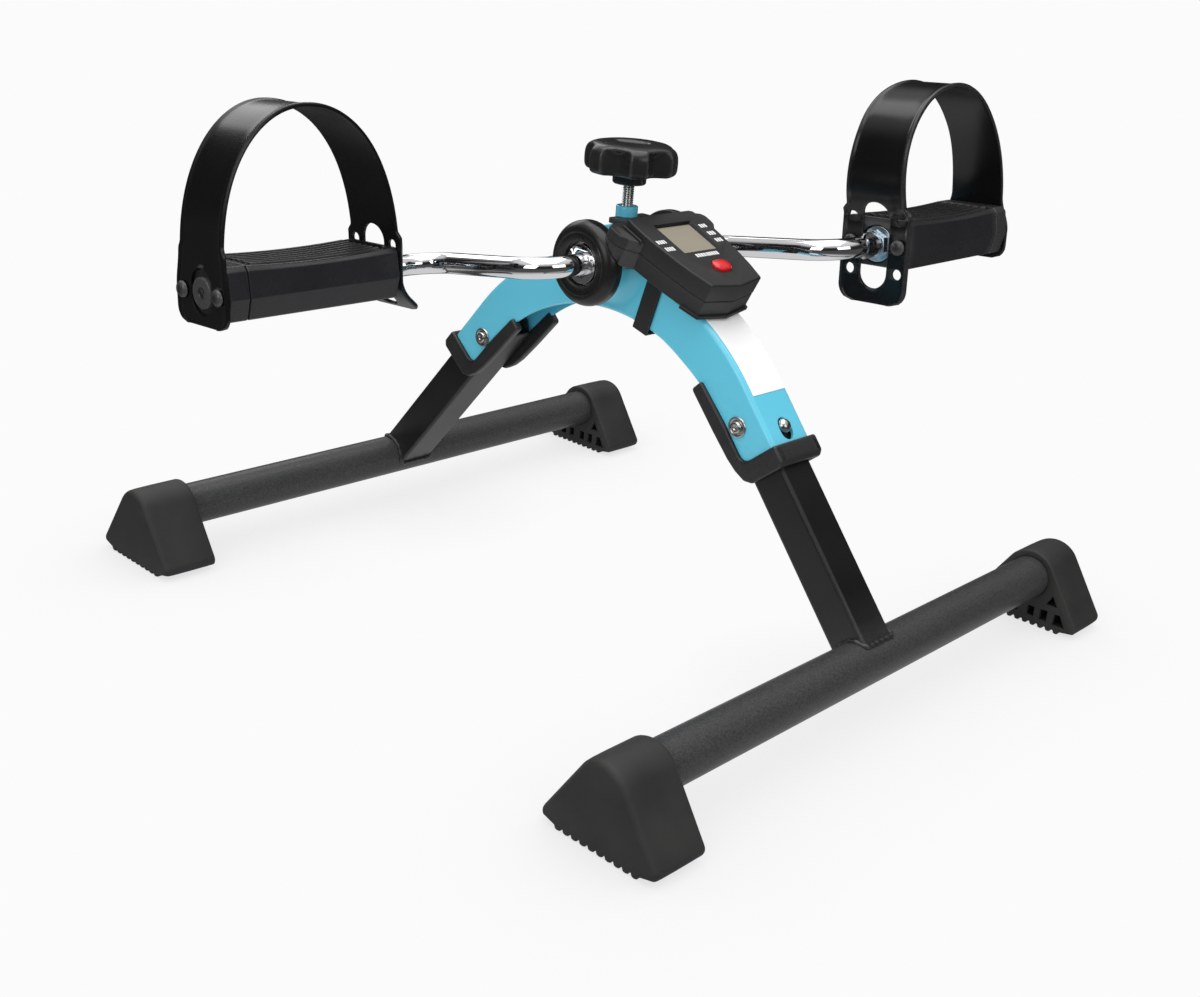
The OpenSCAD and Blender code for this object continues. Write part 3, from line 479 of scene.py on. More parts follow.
def strap(left):
    """A flat moulding with beaded edges, pierced while flat and then bent along the strap's line."""
    in_x, out_x = 108.9, 218.6
    apex = (166, 91.5) if left else (153, 88)
    hands = [(111, 58), (131, 91.5), (194, 91.5), (out_x - 0.8, 63)] if left else \
        [(92, 55), (111, 88), (189, 88), (out_x - 1.5, 51)]
    tail = [(in_x - 14, -21), (in_x - 6.5, -15.5), (in_x - 1.2, -11), (in_x, -4)] if left else \
        [(in_x, -34), (in_x, -25), (in_x, -15), (in_x, -4)]
    line = [cubic(tail, i / 24) for i in range(25)]
    line += [Vector((in_x, z)) for z in range(-3, 16)]
    line += [cubic([(in_x, 16), hands[0], hands[1], apex], i / 80) for i in range(81)]
    line += [cubic([apex, hands[2], hands[3], (out_x, 16.5)], i / 80) for i in range(1, 81)]
    line += [Vector((out_x, 16 - i)) for i in range(34)]
    points, length = even(line, 1.6)
    n = len(points) - 1
    axis_in = min(range(n // 3), key=lambda i: abs(points[i].y)) * length / n
    axis_out = min(range(2 * n // 3, n + 1), key=lambda i: abs(points[i].y)) * length / n
    wide = 23.0
    far_edge = (20, 19.5, 19, 18, 18) if left else (20, 16.5, 14.5, 15.5, 17.5)
    near_edge = (20, 20, 19.5, 19.5, 20) if left else (20, 19.8, 18.5, 17.6, 17.5)

    def half_at(s, edge):
        """Half width at s: broad plates at both ends, slimmer over the foot."""
        def ease(d):
            d = min(1, max(0, d))
            return d * d * (3 - 2 * d)
        f = min(3.999, max(0.0, 4 * (s - axis_in - 18) / (axis_out - axis_in - 34)))
        k = int(f)
        h = edge[k] + (edge[k + 1] - edge[k]) * ease(f - k)
        h += (wide - h) * (1 - ease((s - axis_in - 19) / 4))
        h += (1.6 if left else 0.0) * ease((s - axis_out + 24) / 4)
        h += (wide - h) * ease((s - axis_out + 20) / 20)
        for d, r in ((s, 9.5 if not left else 7.0), (length - s, 8.0)):
            if d < r:
                h += math.sqrt(max(0.0, r * r - (r - d) ** 2)) - r
        return h

    def flank(h):
        """Half a section out to the bead at half width h."""
        top = [(h - 3.6, 0.75), (h - 2.9, 1.0), (h - 2.3, 1.38), (h - 1.3, 1.5), (h - 0.5, 1.15), (h, 0.3),
               (h, -0.5), (h - 0.4, -0.9), (h - 1.2, -1.0)]
        body = [(h - 3.6 - k * (h - 3.6) / 4, 0.75) for k in range(4, 0, -1)]
        return body + top + [(u, -1.0) for u in (h - 3, h - 8, (h - 8) / 2)] + [(0, -1.0)]

    def section(s):
        far, near = flank(half_at(s, far_edge)), flank(half_at(s, near_edge))
        return far + [(-u, v) for u, v in reversed(near[1:-1])]

    bm = skin([level(section(length * i / n), length * i / n, "X") for i in range(n + 1)])
    holes = []
    for middle, reach in ((axis_in, 16), (axis_out, 3)):
        ring = [(middle + reach + x, y) for x, y in arc(0, 0, 9.2, -90, 90, 20)]
        ring += [(middle - reach + x, y) for x, y in arc(0, 0, 9.2, 90, 270, 20)]
        holes.append(ring)
    for s in [axis_in, axis_in + HOLE_PITCH] + ([] if left else [axis_in - HOLE_PITCH]):
        holes += [circle(s, u, 3.1, 24) for u in (-STUD_OFF, STUD_OFF)]
    holes += [circle(axis_out, u, 3.0, 24) for u in (-STUD_OFF, STUD_OFF)]
    bm = bored(bm, *[(hole, -4, 4) for hole in holes])
    flow = [(points[min(i + 1, n)] - points[max(i - 1, 0)]).normalized() for i in range(n + 1)]
    for v in bm.verts:
        s, u, h = v.co
        f = min(max(s / length, 0), 1) * n
        i = min(int(f), n - 1)
        p = points[i].lerp(points[i + 1], f - i)
        d = flow[i].lerp(flow[i + 1], f - i).normalized()
        v.co = (p.x - d.y * h, u, p.y + d.x * h)
    stand_in("toe_strap_" + hand(left), bm, "strap_plastic", at_pedal(left), 35)


for left in (True, False):
    strap(left)


# ---- feet

def foot_ring(shrink, base):
    """Outline of a foot across the bar: round top, straight slopes, teeth in the base."""
    top_r, half, corner, top_z = 16.8 - shrink, 35.0, 4.5, 29.7
    cx, cz = half - corner, corner + 1.5
    r = corner - shrink * 0.7
    d = math.hypot(cx, top_z - cz)
    tilt = math.degrees(math.atan2(top_z - cz, cx)) + math.degrees(math.asin((top_r - r) / d))
    right = [(y, z + top_z) for y, z in arc(0, 0, top_r, 90, 90 - tilt, 14)]
    right += [(cx + y, cz + z) for y, z in arc(0, 0, r, 90 - tilt, -40, 8)]
    teeth, pitch = [], 5.2
    for i in range(5, 0, -1):
        x = i * pitch - pitch / 2
        teeth += [(x + dx, base + dz) for dx, dz in ((1.9, 1.9), (1.2, 0.3), (0, 0), (-1.2, 0.3), (-1.9, 1.9))]
    right += [p for p in teeth if p[0] < cx]
    left = [(-x, z) for x, z in reversed(right[1:])]
    return right + left


def foot(front, left):
    """A moulded foot over the bar's end, ribbed inside and rounded outwards."""
    name = "foot_" + end_of(front) + "_" + hand(left)
    lo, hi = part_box(name)
    bar = mid("ground_bar_" + end_of(front))
    end = max(abs(lo.x), abs(hi.x)) * 1000
    depth = (hi.x - lo.x) * 1000
    rings = [(end - depth, 1.2), (end - depth + 0.35, 0.35), (end - depth + 1.2, 0.0)]
    rings += [(end - depth + depth * f, 0.0) for f in (0.3, 0.55)]
    rings += [(end - 6.5, 0.15)]
    for k in range(1, 8):
        a = math.radians(90 * k / 7)
        rings.append((end - 4.2 + 4.2 * math.sin(a), 0.3 + 3.6 * (1 - math.cos(a))))
    bm = skin([level(foot_ring(d, max(0.0, d - 1.6) * 0.4), x, "X") for x, d in rings])
    holes = [([(y, z + bar.z) for y, z in circle(0, 0, 12.75, 64)], end - depth - 5, end - 4, "X")]
    for s in (1, -1):
        for shape in ([(3.2, 6.2), (7.6, 5.8), (7.6, 12.0), (3.2, 12.0)],
                      [(11.6, 5.4), (16.2, 5.4), (16.2, 12.4), (11.6, 12.2)],
                      [(20.4, 4.9), (28.4, 5.2), (24.2, 12.4), (20.9, 12.0)],
                      [(14.5, 16.4), (21.6, 16.6), (17.6, 23.0)]):
            holes.append(([(s * y, z) for y, z in shape][::s], end - depth - 3, end - 7, "X"))
    bm = bored(bm, *holes)
    stand_in(name, bm, "foot_rubber", Matrix.Translation((0, bar.y, 0)) @ side_of(left), 46)


for front in (True, False):
    for left in (True, False):
        foot(front, left)


# ---- knob

KNOB_RIM, KNOB_TURN, LOBES = 17.0, 22.8, 6


def knob():
    """Lobed grip with an oval hollow in its top and a stepped boss below."""
    c = mid("tension_knob")
    full, steps = spans("tension_knob")[1] / 2, 216
    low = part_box("tension_knob")[1].z * 1000 - KNOB_RIM

    def scooped(t, deep):
        """Broad lobes with a round scoop between each two."""
        u = (t * LOBES / (2 * math.pi)) % 1
        d = abs(u - 0.5) * 2
        scoop = max(0.0, 1 - ((1 - d) / 0.64) ** 2) if d > 0.36 else 0.0
        return -deep * scoop ** 0.85

    levels = [oval(r, r, low + z, steps) for r, z in
              ((3.1, -6.9), (4.6, -6.7), (5.2, -6.0), (8.7, -6.0), (9.4, -5.3), (9.6, -1.4), (12.6, -0.8),
               (13.0, 0.2), (13.2, 1.0), (14.5, 2.2))]
    for z, r, deep in ((0, -3.4, 4.6), (0.3, -2.3, 5.2), (0.9, -1.3, 5.8), (1.9, -0.55, 6.2), (3.4, -0.15, 6.4),
                       (5.5, 0, 6.5), (8.0, 0, 6.5), (10.0, -0.15, 6.4), (11.5, -0.45, 6.0), (12.7, -0.95, 5.1),
                       (13.7, -1.6, 3.6), (14.5, -2.4, 2.1), (15.2, -3.6, 0.9), (15.9, -5.6, 0.25), (16.4, -8.2, 0),
                       (16.8, -11.4, 0), (17.0, -14.6, 0)):
        ring = []
        for t in steps_round(steps):
            rr = full + r + scooped(t, deep)
            ring.append((rr * math.cos(t), rr * math.sin(t), low + z))
        levels.append(ring)
    for ry, rx, z in ((11.0, 6.4, 17.0), (10.4, 5.9, 16.8), (9.6, 5.2, 16.2), (8.6, 4.4, 15.7), (5.2, 2.6, 15.5),
                      (0.6, 0.4, 15.5)):
        levels.append(oval(rx, ry, low + z, steps))
    bm = skin(levels)
    at = Matrix.Translation((c.x, c.y, 0)) @ Matrix.Rotation(math.radians(KNOB_TURN), 4, "Z")
    stand_in("tension_knob", bm, "knob_plastic", at, 50)


THREAD_PITCH, THREAD_DEPTH, THREAD_STEP = 1.25, 0.62, 0.16


def screw():
    """Rolled thread over the whole length of the screw."""
    c = mid("tension_screw")
    lo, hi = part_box("tension_screw")
    z0, z1, r = lo.z * 1000, hi.z * 1000, (hi.x - lo.x) * 500
    rows = []
    n = int((z1 - z0) / THREAD_STEP)
    for k in range(n + 1):
        z = z0 + (z1 - z0) * k / n
        ring = []
        for t in steps_round(28):
            phase = ((z - z0) / THREAD_PITCH - t / (2 * math.pi)) % 1
            wave = 0.5 - 0.5 * math.cos(2 * math.pi * phase)
            rr = r - THREAD_DEPTH * (1 - wave ** 0.8)
            ring.append((rr * math.cos(t), rr * math.sin(t), z))
        rows.append(ring)
    bm = skin(rows)
    bright = finish_of("thread", (0.80, 0.80, 0.78), 0.2, 1.0, mottle=0.1, mottle_scale=150, grain=0.004, edge=0)
    stand_in("tension_screw", bm, "steel", Matrix.Translation((c.x, c.y, 0)), 70, bright)


knob()
screw()


# ---- caps and crank

def hub_cap(left):
    """A domed rubber ring over the barrel's end, turned in at its rim."""
    name = "hub_cap_" + hand(left)
    lo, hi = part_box(name)
    out = max(abs(lo.x), abs(hi.x)) * 1000
    r = (hi.z - lo.z) * 500
    back = out - (hi.x - lo.x) * 1000
    profile = [(18.3, back), (r - 0.8, back), (r - 0.2, back + 0.3), (r, back + 1.0)]
    profile += arc(r - 6.4, out - 6.4, 6.4, 0, 84, 16)
    profile += [(17.4, out - 0.12), (17.1, out - 0.45), (16.8, out - 0.42), (13.4, out - 0.35), (12.7, out - 0.7),
                (12.3, out - 1.3), (12.3, out - 4), (16.4, out - 4.2), (16.6, back + 4.2), (18.3, back + 4)]
    bm = skin(round_x(profile, 112), "join")
    stand_in(name, bm, "cap_plastic", side_of(left) @ Matrix.Translation((0, HUB.y, HUB.z)), 50)


ARM_X, ARM_BEND, ROD_R, ARM_REACH, ARM_START = 68.7, 20.0, 6.0, 91.6, 20.0
PINCH_X = 99.5


def crank(left):
    """The bent rod, pinched into two ears beside the pedal."""
    name = "crank_arm_" + hand(left)
    lo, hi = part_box(name)
    far = max(abs(lo.x), abs(hi.x)) * 1000
    bend, reach = ARM_BEND, ARM_REACH
    path = [Vector((ARM_START + (ARM_X - bend - ARM_START) * i / 12, 0)) for i in range(12)]
    path += [Vector((ARM_X - bend, bend)) + Vector(p) for p in arc(0, 0, bend, -90, 0, 20)]
    path += [Vector((ARM_X, bend + (reach - 2 * bend) * i / 16)) for i in range(1, 16)]
    path += [Vector((ARM_X + bend, reach - bend)) + Vector(p) for p in arc(0, 0, bend, 180, 90, 20)]
    path += [Vector((ARM_X + bend + (far - ARM_X - bend) * i / 90, reach)) for i in range(1, 91)]
    rings = []
    for i, p in enumerate(path):
        d = (path[min(i + 1, len(path) - 1)] - path[max(i - 1, 0)]).normalized()
        side = Vector((-d.y, d.x))
        pinch = 0.0
        if p.y > reach - 1 and p.x < 108:
            pinch = min(1.0, max(0.0, 1.5 - abs(p.x - PINCH_X) / 5.5))
            pinch = pinch * pinch * (3 - 2 * pinch)
        ring = []
        for t in steps_round(40):
            u = ROD_R * math.cos(t) * (1 - 0.30 * pinch)
            w = ROD_R * math.sin(t) * (1 + 0.24 * pinch)
            ring.append((p.x + side.x * u, p.y + side.y * u, w))
        rings.append(ring)
    bm = skin(rings)
    stand_in(name, bm, "chrome", at_crank(left), 60)


for left in (True, False):
    hub_cap(left)
    crank(left)


# ---- counter

FACE_OFF, KEY_Y, KEY_R, KEY_HALF = -0.8, -27.5, 4.5, 1.8
MARK_GAP, MARK_HIGH = 0.62, 0.1
# Centre, bar widths and height of each block of plain bars on the face.
MARKS = [((-22.4, -1.6), (1.3, 1.3, 1.3, 0.9), 3.0), ((-21.6, -8.0), (1.2, 1.2, 1.2, 1.2), 3.2),
         ((21.0, 7.2), (1.4, 1.4, 1.4), 3.0), ((21.2, 0.2), (1.4, 1.4, 1.4), 3.2),
         ((20.9, -6.2), (1.4, 1.4, 1.4), 3.0),
         ((0.4, -16.4), (1.5, 1.4, 1.4, 1.2, 0.5, 1.3, 1.3, 1.3, 1.3, 1.3), 2.8)]


def capsule(half, r, y, n):
    """Outline with round ends, half a length each side of X = 0."""
    return [(half + x, dy + y) for x, dy in arc(0, 0, r, -90, 90, n)] + \
           [(-half + x, dy + y) for x, dy in arc(0, 0, r, 90, 270, n)]


def counter():
    """Two moulded shells with a seam, ears beside the hub, a fork round the post, a window and plain print marks."""
    edge = [(24, 22.5), (26.6, 21.2), (27.6, 18), (28.2, 8), (28.1, 0), (27.2, -9), (25.9, -20), (24.0, -30),
            (20.8, -41.3)]
    face = [(x + FACE_OFF, y) for x, y in edge + [(0, -44.9)]] + [(FACE_OFF - x, y) for x, y in reversed(edge)]
    face_r = [1.5, 1, 1.5, 2, 3, 3, 3, 3, 1.1, 1.4, 1.1, 3, 3, 3, 3, 2, 1.5, 1, 1.5]
    ear = [(14, 20), (22, 3.3), (27.4, 3.3), (35.7, 9.3), (38.7, 12.6), (39.4, 15.8), (39.4, 20.6), (37.8, 23.2),
           (34.6, 24.4), (14, 24.4)]
    ear_r = [0, 0, 1.2, 2.5, 2.5, 2, 2, 2, 2, 0]
    room = bmesh.new()
    prism(room, circle(HUB.y, HUB.z, 18.4, 72), -60, 60, "X")
    cap_room = [(24.1, 30.4), (24.1, 36.0)] + arc(17.6, 35.6, 6.5, 0, 90, 8) + [(12, 42.1), (12, 30.4)]
    for s in (1, -1):
        loft(room, round_x([(r, s * a) for r, a in cap_room], 72, HUB.y, HUB.z), "join")
    room.transform(AT_FACE.inverted())

    def shell(levels, ear_levels):
        """Half of the case and its two ears, cut back round the hub and its caps."""
        half = skin([level(ring_of(face, face_r, d), z) for z, d in levels])
        ears = [skin([[(s * x, y, z) for x, y in ring_of(ear, ear_r, d)] for z, d in ear_levels]) for s in (1, -1)]
        return cut(half, room.copy()), [cut(e, room.copy()) for e in ears]

    cover, cover_ears = shell(((0, 1.0), (-0.18, 0.55), (-0.5, 0.2), (-1.0, 0.0), (-10.5, 0.35), (-10.85, 0.8)),
                              ((-4.3, 0.9), (-4.5, 0.35), (-5.2, 0.0), (-10.5, 0.2), (-10.85, 0.6)))
    base, base_ears = shell(((-11.0, 0.9), (-11.3, 0.5), (-20.4, 0.75), (-20.8, 1.0), (-21.0, 1.5)),
                            ((-11.0, 0.7), (-11.3, 0.3), (-20.6, 0.5), (-21.5, 1.0), (-22.0, 1.9)))
    cover = bored(cover, (rounded(box_of(30.8, 25.8), 0.8), -4.5, 3),
                  (capsule(KEY_HALF, KEY_R + 0.3, KEY_Y, 16), -6, 3))
    body = BODY["counter_cover"]
    stand_in("counter_cover", cover, "counter_plastic", AT_FACE, 30)
    stand_in("counter_base", base, "counter_plastic", AT_FACE, 30)
    for i, e in enumerate(cover_ears + base_ears):
        add("counter_ear_%d" % i, e, body, "counter_plastic", AT_FACE, smooth=30)
    trim = bmesh.new()
    for s in (1, -1):
        pillow(trim, [(s * x, y) for x, y in ((29.6, 4.6), (31.0, 5.4), (31.0, 20.5), (29.6, 20.5))], 0.5,
               -6.0, -2.9, 0.5, "Z")
    lip = [p for p in inset(face, -0.6) if p[1] < -29]
    pillow(trim, lip, 0.6, -21.8, -19.6, 0.4, "Z")
    add("counter_trim", trim, body, "counter_plastic", AT_FACE, smooth=35)

    fork = bmesh.new()
    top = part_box("arch_frame")[1].z * 1000 + 0.15
    post_y = mid("tension_post").y
    pr = spans("tension_post")[0] / 2 + 0.15
    out = [(-14.3, -24), (-14.3, post_y - 0.2), (-13.3, post_y + 0.8), (-pr, post_y + 0.8)]
    out += arc(0, post_y, pr, 180, 360, 20) + [(pr, post_y + 0.8), (13.3, post_y + 0.8), (14.3, post_y - 0.2), (14.3, -24)]
    pillow(fork, out, 0, top, top + 3, 0.5, "Z")
    add("counter_fork", fork, body, "counter_plastic", smooth=35)

    bm = skin([level(rounded(box_of(w, h), r, 4), z) for w, h, r, z in
               ((31.4, 26.4, 1.0, 0.03), (30.7, 25.7, 0.8, -0.1), (28.6, 24.2, 0.6, -1.5), (28.4, 24.0, 0.6, -1.78),
                (31.4, 26.4, 1.0, -1.78))], "join")
    dark = finish_of("window_frame", (0.010, 0.010, 0.011), 0.4, mottle=0.2, grain=0.02, edge=0.3)
    add("window_frame", bm, body, "counter_plastic", AT_FACE, smooth=30, finish=dark)

    marks = bmesh.new()
    for (x, y), parts, high in MARKS:
        cx = x + FACE_OFF - (sum(parts) + MARK_GAP * (len(parts) - 1)) / 2
        for w in parts:
            bar = [(cx, y - high / 2), (cx + w, y - high / 2), (cx + w, y + high / 2), (cx, y + high / 2)]
            prism(marks, bar, 0.0, MARK_HIGH)
            cx += w + MARK_GAP
    add("counter_marks", marks, body, "counter_plastic", AT_FACE, smooth=30, finish=MAT["legend_white"])

    bm = skin([level(capsule(KEY_HALF * r / KEY_R, r, KEY_Y, 20), z) for r, z in
               ((4.5, -1.2), (4.5, 0.8), (4.35, 1.2), (3.9, 1.6), (3.0, 1.95), (1.7, 2.15), (0.2, 2.2))])
    stand_in("counter_button", bm, "button_red", AT_FACE, 50)


counter()


# ---- rigid pieces, edges worked

ARCH_R, ARCH_IN_R, RUN = 135.6, 118.0, math.radians(90 - LEG_TILT)
ARCH_C = HUB.z + 1 - ARCH_R
ARCH_IN_C = 176.3 - ARCH_IN_R
ARCH_HALF, WALL = 16, 2.0
BARREL = spans("hub_barrel")[2] / 2
POST = mid("tension_post")
PIVOT = Vector((-abs(mid("pivot_spacer_rear").y), mid("pivot_spacer_rear").z))
DOWN = Vector((-math.sin(math.radians(LEG_TILT)), -math.cos(math.radians(LEG_TILT))))


def on_arc(r, c, a):
    """The rear side's point at an angle from the top, as Y and Z."""
    return Vector((-r * math.sin(a), c + r * math.cos(a)))


def across(o, n):
    """The point of the channel's inner edge straight below its outer point o."""
    c = o - Vector((0, ARCH_IN_C))
    b = c.dot(n)
    i = o - n * (b - math.sqrt(b * b - c.dot(c) + ARCH_IN_R ** 2))
    if math.atan2(-i.x, i.y - ARCH_IN_C) > RUN:
        i = o - n * n.dot(o - on_arc(ARCH_IN_R, ARCH_IN_C, RUN))
    return i


def stations():
    """Outer and inner points of the channel's side from the hub down to its rear end."""
    out = []
    for k in range(41):
        a = RUN * k / 40
        o, n = on_arc(ARCH_R, ARCH_C, a), Vector((-math.sin(a), math.cos(a)))
        out.append((o, across(o, n)))
    o = out[-1][0]
    for k in range(1, 12):
        oe = o + DOWN * (((PIVOT - o).dot(DOWN) + 18.7) * k / 11)
        out.append((oe, across(oe, n)))
    return out


def opening(y):
    """Half the gap between the channel's flanges: closed under the hub, wide open towards the legs."""
    y = abs(y)
    pts = ((24, 0.05), (28, 5.2), (33, 8.7), (44, 12.4), (60, 14.0), (400, 14.0))
    if y <= pts[0][0]:
        return pts[0][1]
    for (y0, w0), (y1, w1) in zip(pts, pts[1:]):
        if y <= y1:
            return w0 + (w1 - w0) * (y - y0) / (y1 - y0)


def arch():
    """Pressed channel: wide bends on its outer corners, flanges under the hub that open in a leaf shape."""
    rear = stations()
    both_ways = rear[::-1] + [(Vector((-o.x, o.y)), Vector((-i.x, i.y))) for o, i in rear[1:]]
    rings = []
    for o, i in both_ways:
        high = (o - i).length
        d = (o - i) / high
        w = opening(i.x)
        foot_r = min(2.4, max(0.45, ARCH_HALF - w - 1.6))
        top_r = 2.9
        half = [(w, 0.0)] + arc(ARCH_HALF - foot_r, foot_r, foot_r, -90, 0, 4)
        half += [(ARCH_HALF, high * 0.35), (ARCH_HALF, high * 0.7)]
        half += arc(ARCH_HALF - top_r, high - top_r, top_r, 0, 90, 6)
        inner = [(13.999, high - WALL), (13.999, WALL + 0.05), (min(w, 13.95), WALL)]
        ring = half + [(-x, h) for x, h in reversed(half)] + [(-x, h) for x, h in reversed(inner)] + inner
        rings.append([(x, (i + d * h).x, (i + d * h).y) for x, h in ring])
    bm = skin(rings)
    tool = bmesh.new()
    for front in (False, True):
        slot = bmesh.new()
        shape = arc(0, BUTTON_Z, 4.8, 0, 180, 16) + arc(0, BUTTON_Z - 3.2, 4.8, 180, 360, 16)
        loft(slot, [[(x, y, z) for x, z in shape] for y in (-24, -9)])
        slot.transform(at_leg(front))
        piece = bpy.data.meshes.new("slot")
        slot.to_mesh(piece)
        tool.from_mesh(piece)
        slot.free()
    prism(tool, circle(HUB.y, HUB.z, BARREL - 0.05, 96), -60, 60, "X")
    stand_in("arch_frame", cut(bm, tool), "arch_paint", None, 28)

    collar = lathe([(BARREL - 0.1, -15.9), (BARREL + 0.7, -15.9), (BARREL + 1.2, -15.4), (BARREL + 1.2, 15.4),
                    (BARREL + 0.7, 15.9), (BARREL - 0.1, 15.9)], 112)
    collar = bored(collar, (circle(0, 0, BARREL - 0.05, 96), -60, 60, "X"))
    collar = bored(collar, (circle(0, POST.y - HUB.y, spans("tension_post")[0] / 2 - 0.05, 48), 0, 60))
    collar.transform(Matrix.Translation((0, HUB.y, HUB.z)))
    add("hub_collar", collar, BODY["arch_frame"], "arch_paint", smooth=50)

    bm = bmesh.new()
    centre, most = Vector((0, ARCH_C)), ARCH_R - 0.35
    for s in (1, -1):
        profile = [(BARREL + 8.8, 15.2), (BARREL + 8.3, 15.9)]
        profile += [(BARREL + 8 - 7.9 * math.sin(math.radians(a)), 24 - 8 * math.cos(math.radians(a)))
                    for a in range(6, 91, 7)]
        profile += [(BARREL + 0.08, 27), (BARREL + 0.08, 31.5)]
        rings = []
        for r, x in profile:
            ring = []
            for t in steps_round(120):
                p = Vector((r * math.cos(t), HUB.z + r * math.sin(t)))
                if (p - centre).length > most:
                    p = centre + (p - centre).normalized() * most
                ring.append((s * x, p.x, p.y))
            rings.append(ring)
        loft(bm, rings, "open")
    add("hub_flare", bm, BODY["arch_frame"], "arch_paint", smooth=50)


def label():
    """Plain sticker on the front run, carried up round the bend under the counter."""
    line = [o for o, i in stations()]
    start = next(k for k, o in enumerate(line) if o.x < -46)
    low = line[-1] - DOWN * 28.9
    line = [o for o in line[start:] if (o - low).dot(DOWN) < 0] + [low]
    rings = []
    for k, p in enumerate(line):
        d = (line[min(k + 1, len(line) - 1)] - line[max(k - 1, 0)]).normalized()
        out = Vector((d.y, -d.x))
        if out.x > 0:
            out = -out
        rings.append([(x, (p + out * h).x, (p + out * h).y) for x, h in
                      ((-13.3, 0.02), (-13.3, 0.2), (-13.1, 0.3), (14.0, 0.3), (14.2, 0.2), (14.2, 0.02))])
    bm = skin(rings)
    stand_in("blank_label", bm, "label")


def guard(front):
    """A collar round the channel's end and a padded strip up each free edge."""
    cheek = [(-18.8, -18.7), (6.5, -18.7), (6.5, 5), (8.4, 31.4), (16.4, 30.8), (15.6, 5), (14.6, -12), (13.2, -20),
             (10.5, -27), (6, -30.5), (-16, -30.7), (-18.8, -28.1)]
    cheek_r = [1.6, 5.5, 6, 1.8, 2.2, 6, 6, 5, 4, 3, 2.4, 2.4]
    bm = bmesh.new()
    for x0, x1 in ((13.15, 18.3), (-18.3, -13.15)):
        pillow(bm, cheek, cheek_r, x0, x1, 1.2)
    pillow(bm, [(-18.8, -18.7), (-13.0, -18.7), (-13.0, -30.0), (-16.4, -30.7), (-18.8, -28.1)],
           [1.2, 0.5, 0.5, 2, 2], -17, 17, 0.2)
    stand_in("leg_guard_" + end_of(front), bm, "guard_plastic", at_leg(front), 38)


LEG_REACH, LEG_END_R, BUTTON_Z = 139.39, 13.2, -9.5
# Head of the pivot bolt and the snap button, as radius and height.
BOLT = [(0.1, -17.5), (1.0, -17.6), (1.4, -18.2), (2.2, -18.4), (2.9, -18.2), (3.35, -17.6), (3.6, -16.5),
        (4.0, -16.5), (4.3, -16.9), (4.9, -17.1), (5.6, -16.9), (5.95, -16.3), (5.9, -15.95), (3.0, -15.9), (3.0, 16)]
BUTTON = [(4.9, 7.0), (4.9, 8.5), (4.2, 8.6), (4.2, 15.6), (4.0, 16.9), (3.5, 17.9), (2.7, 18.7), (1.6, 19.2),
          (0.1, 19.35)]


def leg(front):
    """Rectangular tube with rolled corners, round at its top, open inside and pierced for its pivot and button."""
    rings = []
    heights = [4 - LEG_REACH] + [(LEG_REACH - 20) * (k / 6 - 1) for k in range(7)]
    for z in heights + [3, 6, 8, 9.8, 11.2, 12.3, 12.9, 13.15]:
        deep = min(11.0, math.sqrt(max(1.0, LEG_END_R ** 2 - max(z, 0) ** 2))) if z > 0 else 11.0
        y0, y1 = (-12.5, 9.5) if z <= 0 else (max(-12.5, -deep), min(9.5, deep))
        corners = [(12.5, y0), (12.5, y1), (-12.5, y1), (-12.5, y0)]
        rings.append(level(rounded(corners, min(2.4, deep / 2), 5), z))
    bm = skin(rings)
    bm = bored(bm, (rounded([(11, -11), (11, 8), (-11, 8), (-11, -11)], 1.5, 3), 20 - LEG_REACH, 30))
    tool = bmesh.new()
    prism(tool, circle(0, 0, 3.2, 24), -30, 30, "X")
    loft(tool, [[(x, y, z) for x, z in circle(0, BUTTON_Z, 4.4, 32)] for y in (-22, 0)])
    stand_in("leg_tube_" + end_of(front), cut(bm, tool), "black_paint", at_leg(front), 30)


PEDAL_IN, PEDAL_OUT, PEDAL_END = 110.0, 205.5, 217.5
RIBS, RIB_PITCH = 7, 5.15
STUD = [(2.9, -1), (2.9, 2.3), (4.0, 2.4), (4.35, 2.8), (4.3, 3.5), (3.7, 4.4), (2.6, 5.0), (1.2, 5.3), (0.1, 5.35)]
BOSS = [(8.2, -1.0), (8.2, 1.7), (7.9, 2.1), (7.4, 2.25), (3.2, 2.2), (2.8, 1.7), (2.2, 1.3), (0.1, 1.2)]


def dish(bm):
    """The tread is moulded slightly hollow along its length."""
    for v in bm.verts:
        u = (v.co.x - (PEDAL_IN + PEDAL_OUT) / 2) / ((PEDAL_OUT - PEDAL_IN) / 2)
        if v.co.z > 8 and abs(u) < 1:
            v.co.z -= 1.7 * (1 - u * u) * min(1.0, (v.co.z - 8) / 7.2)


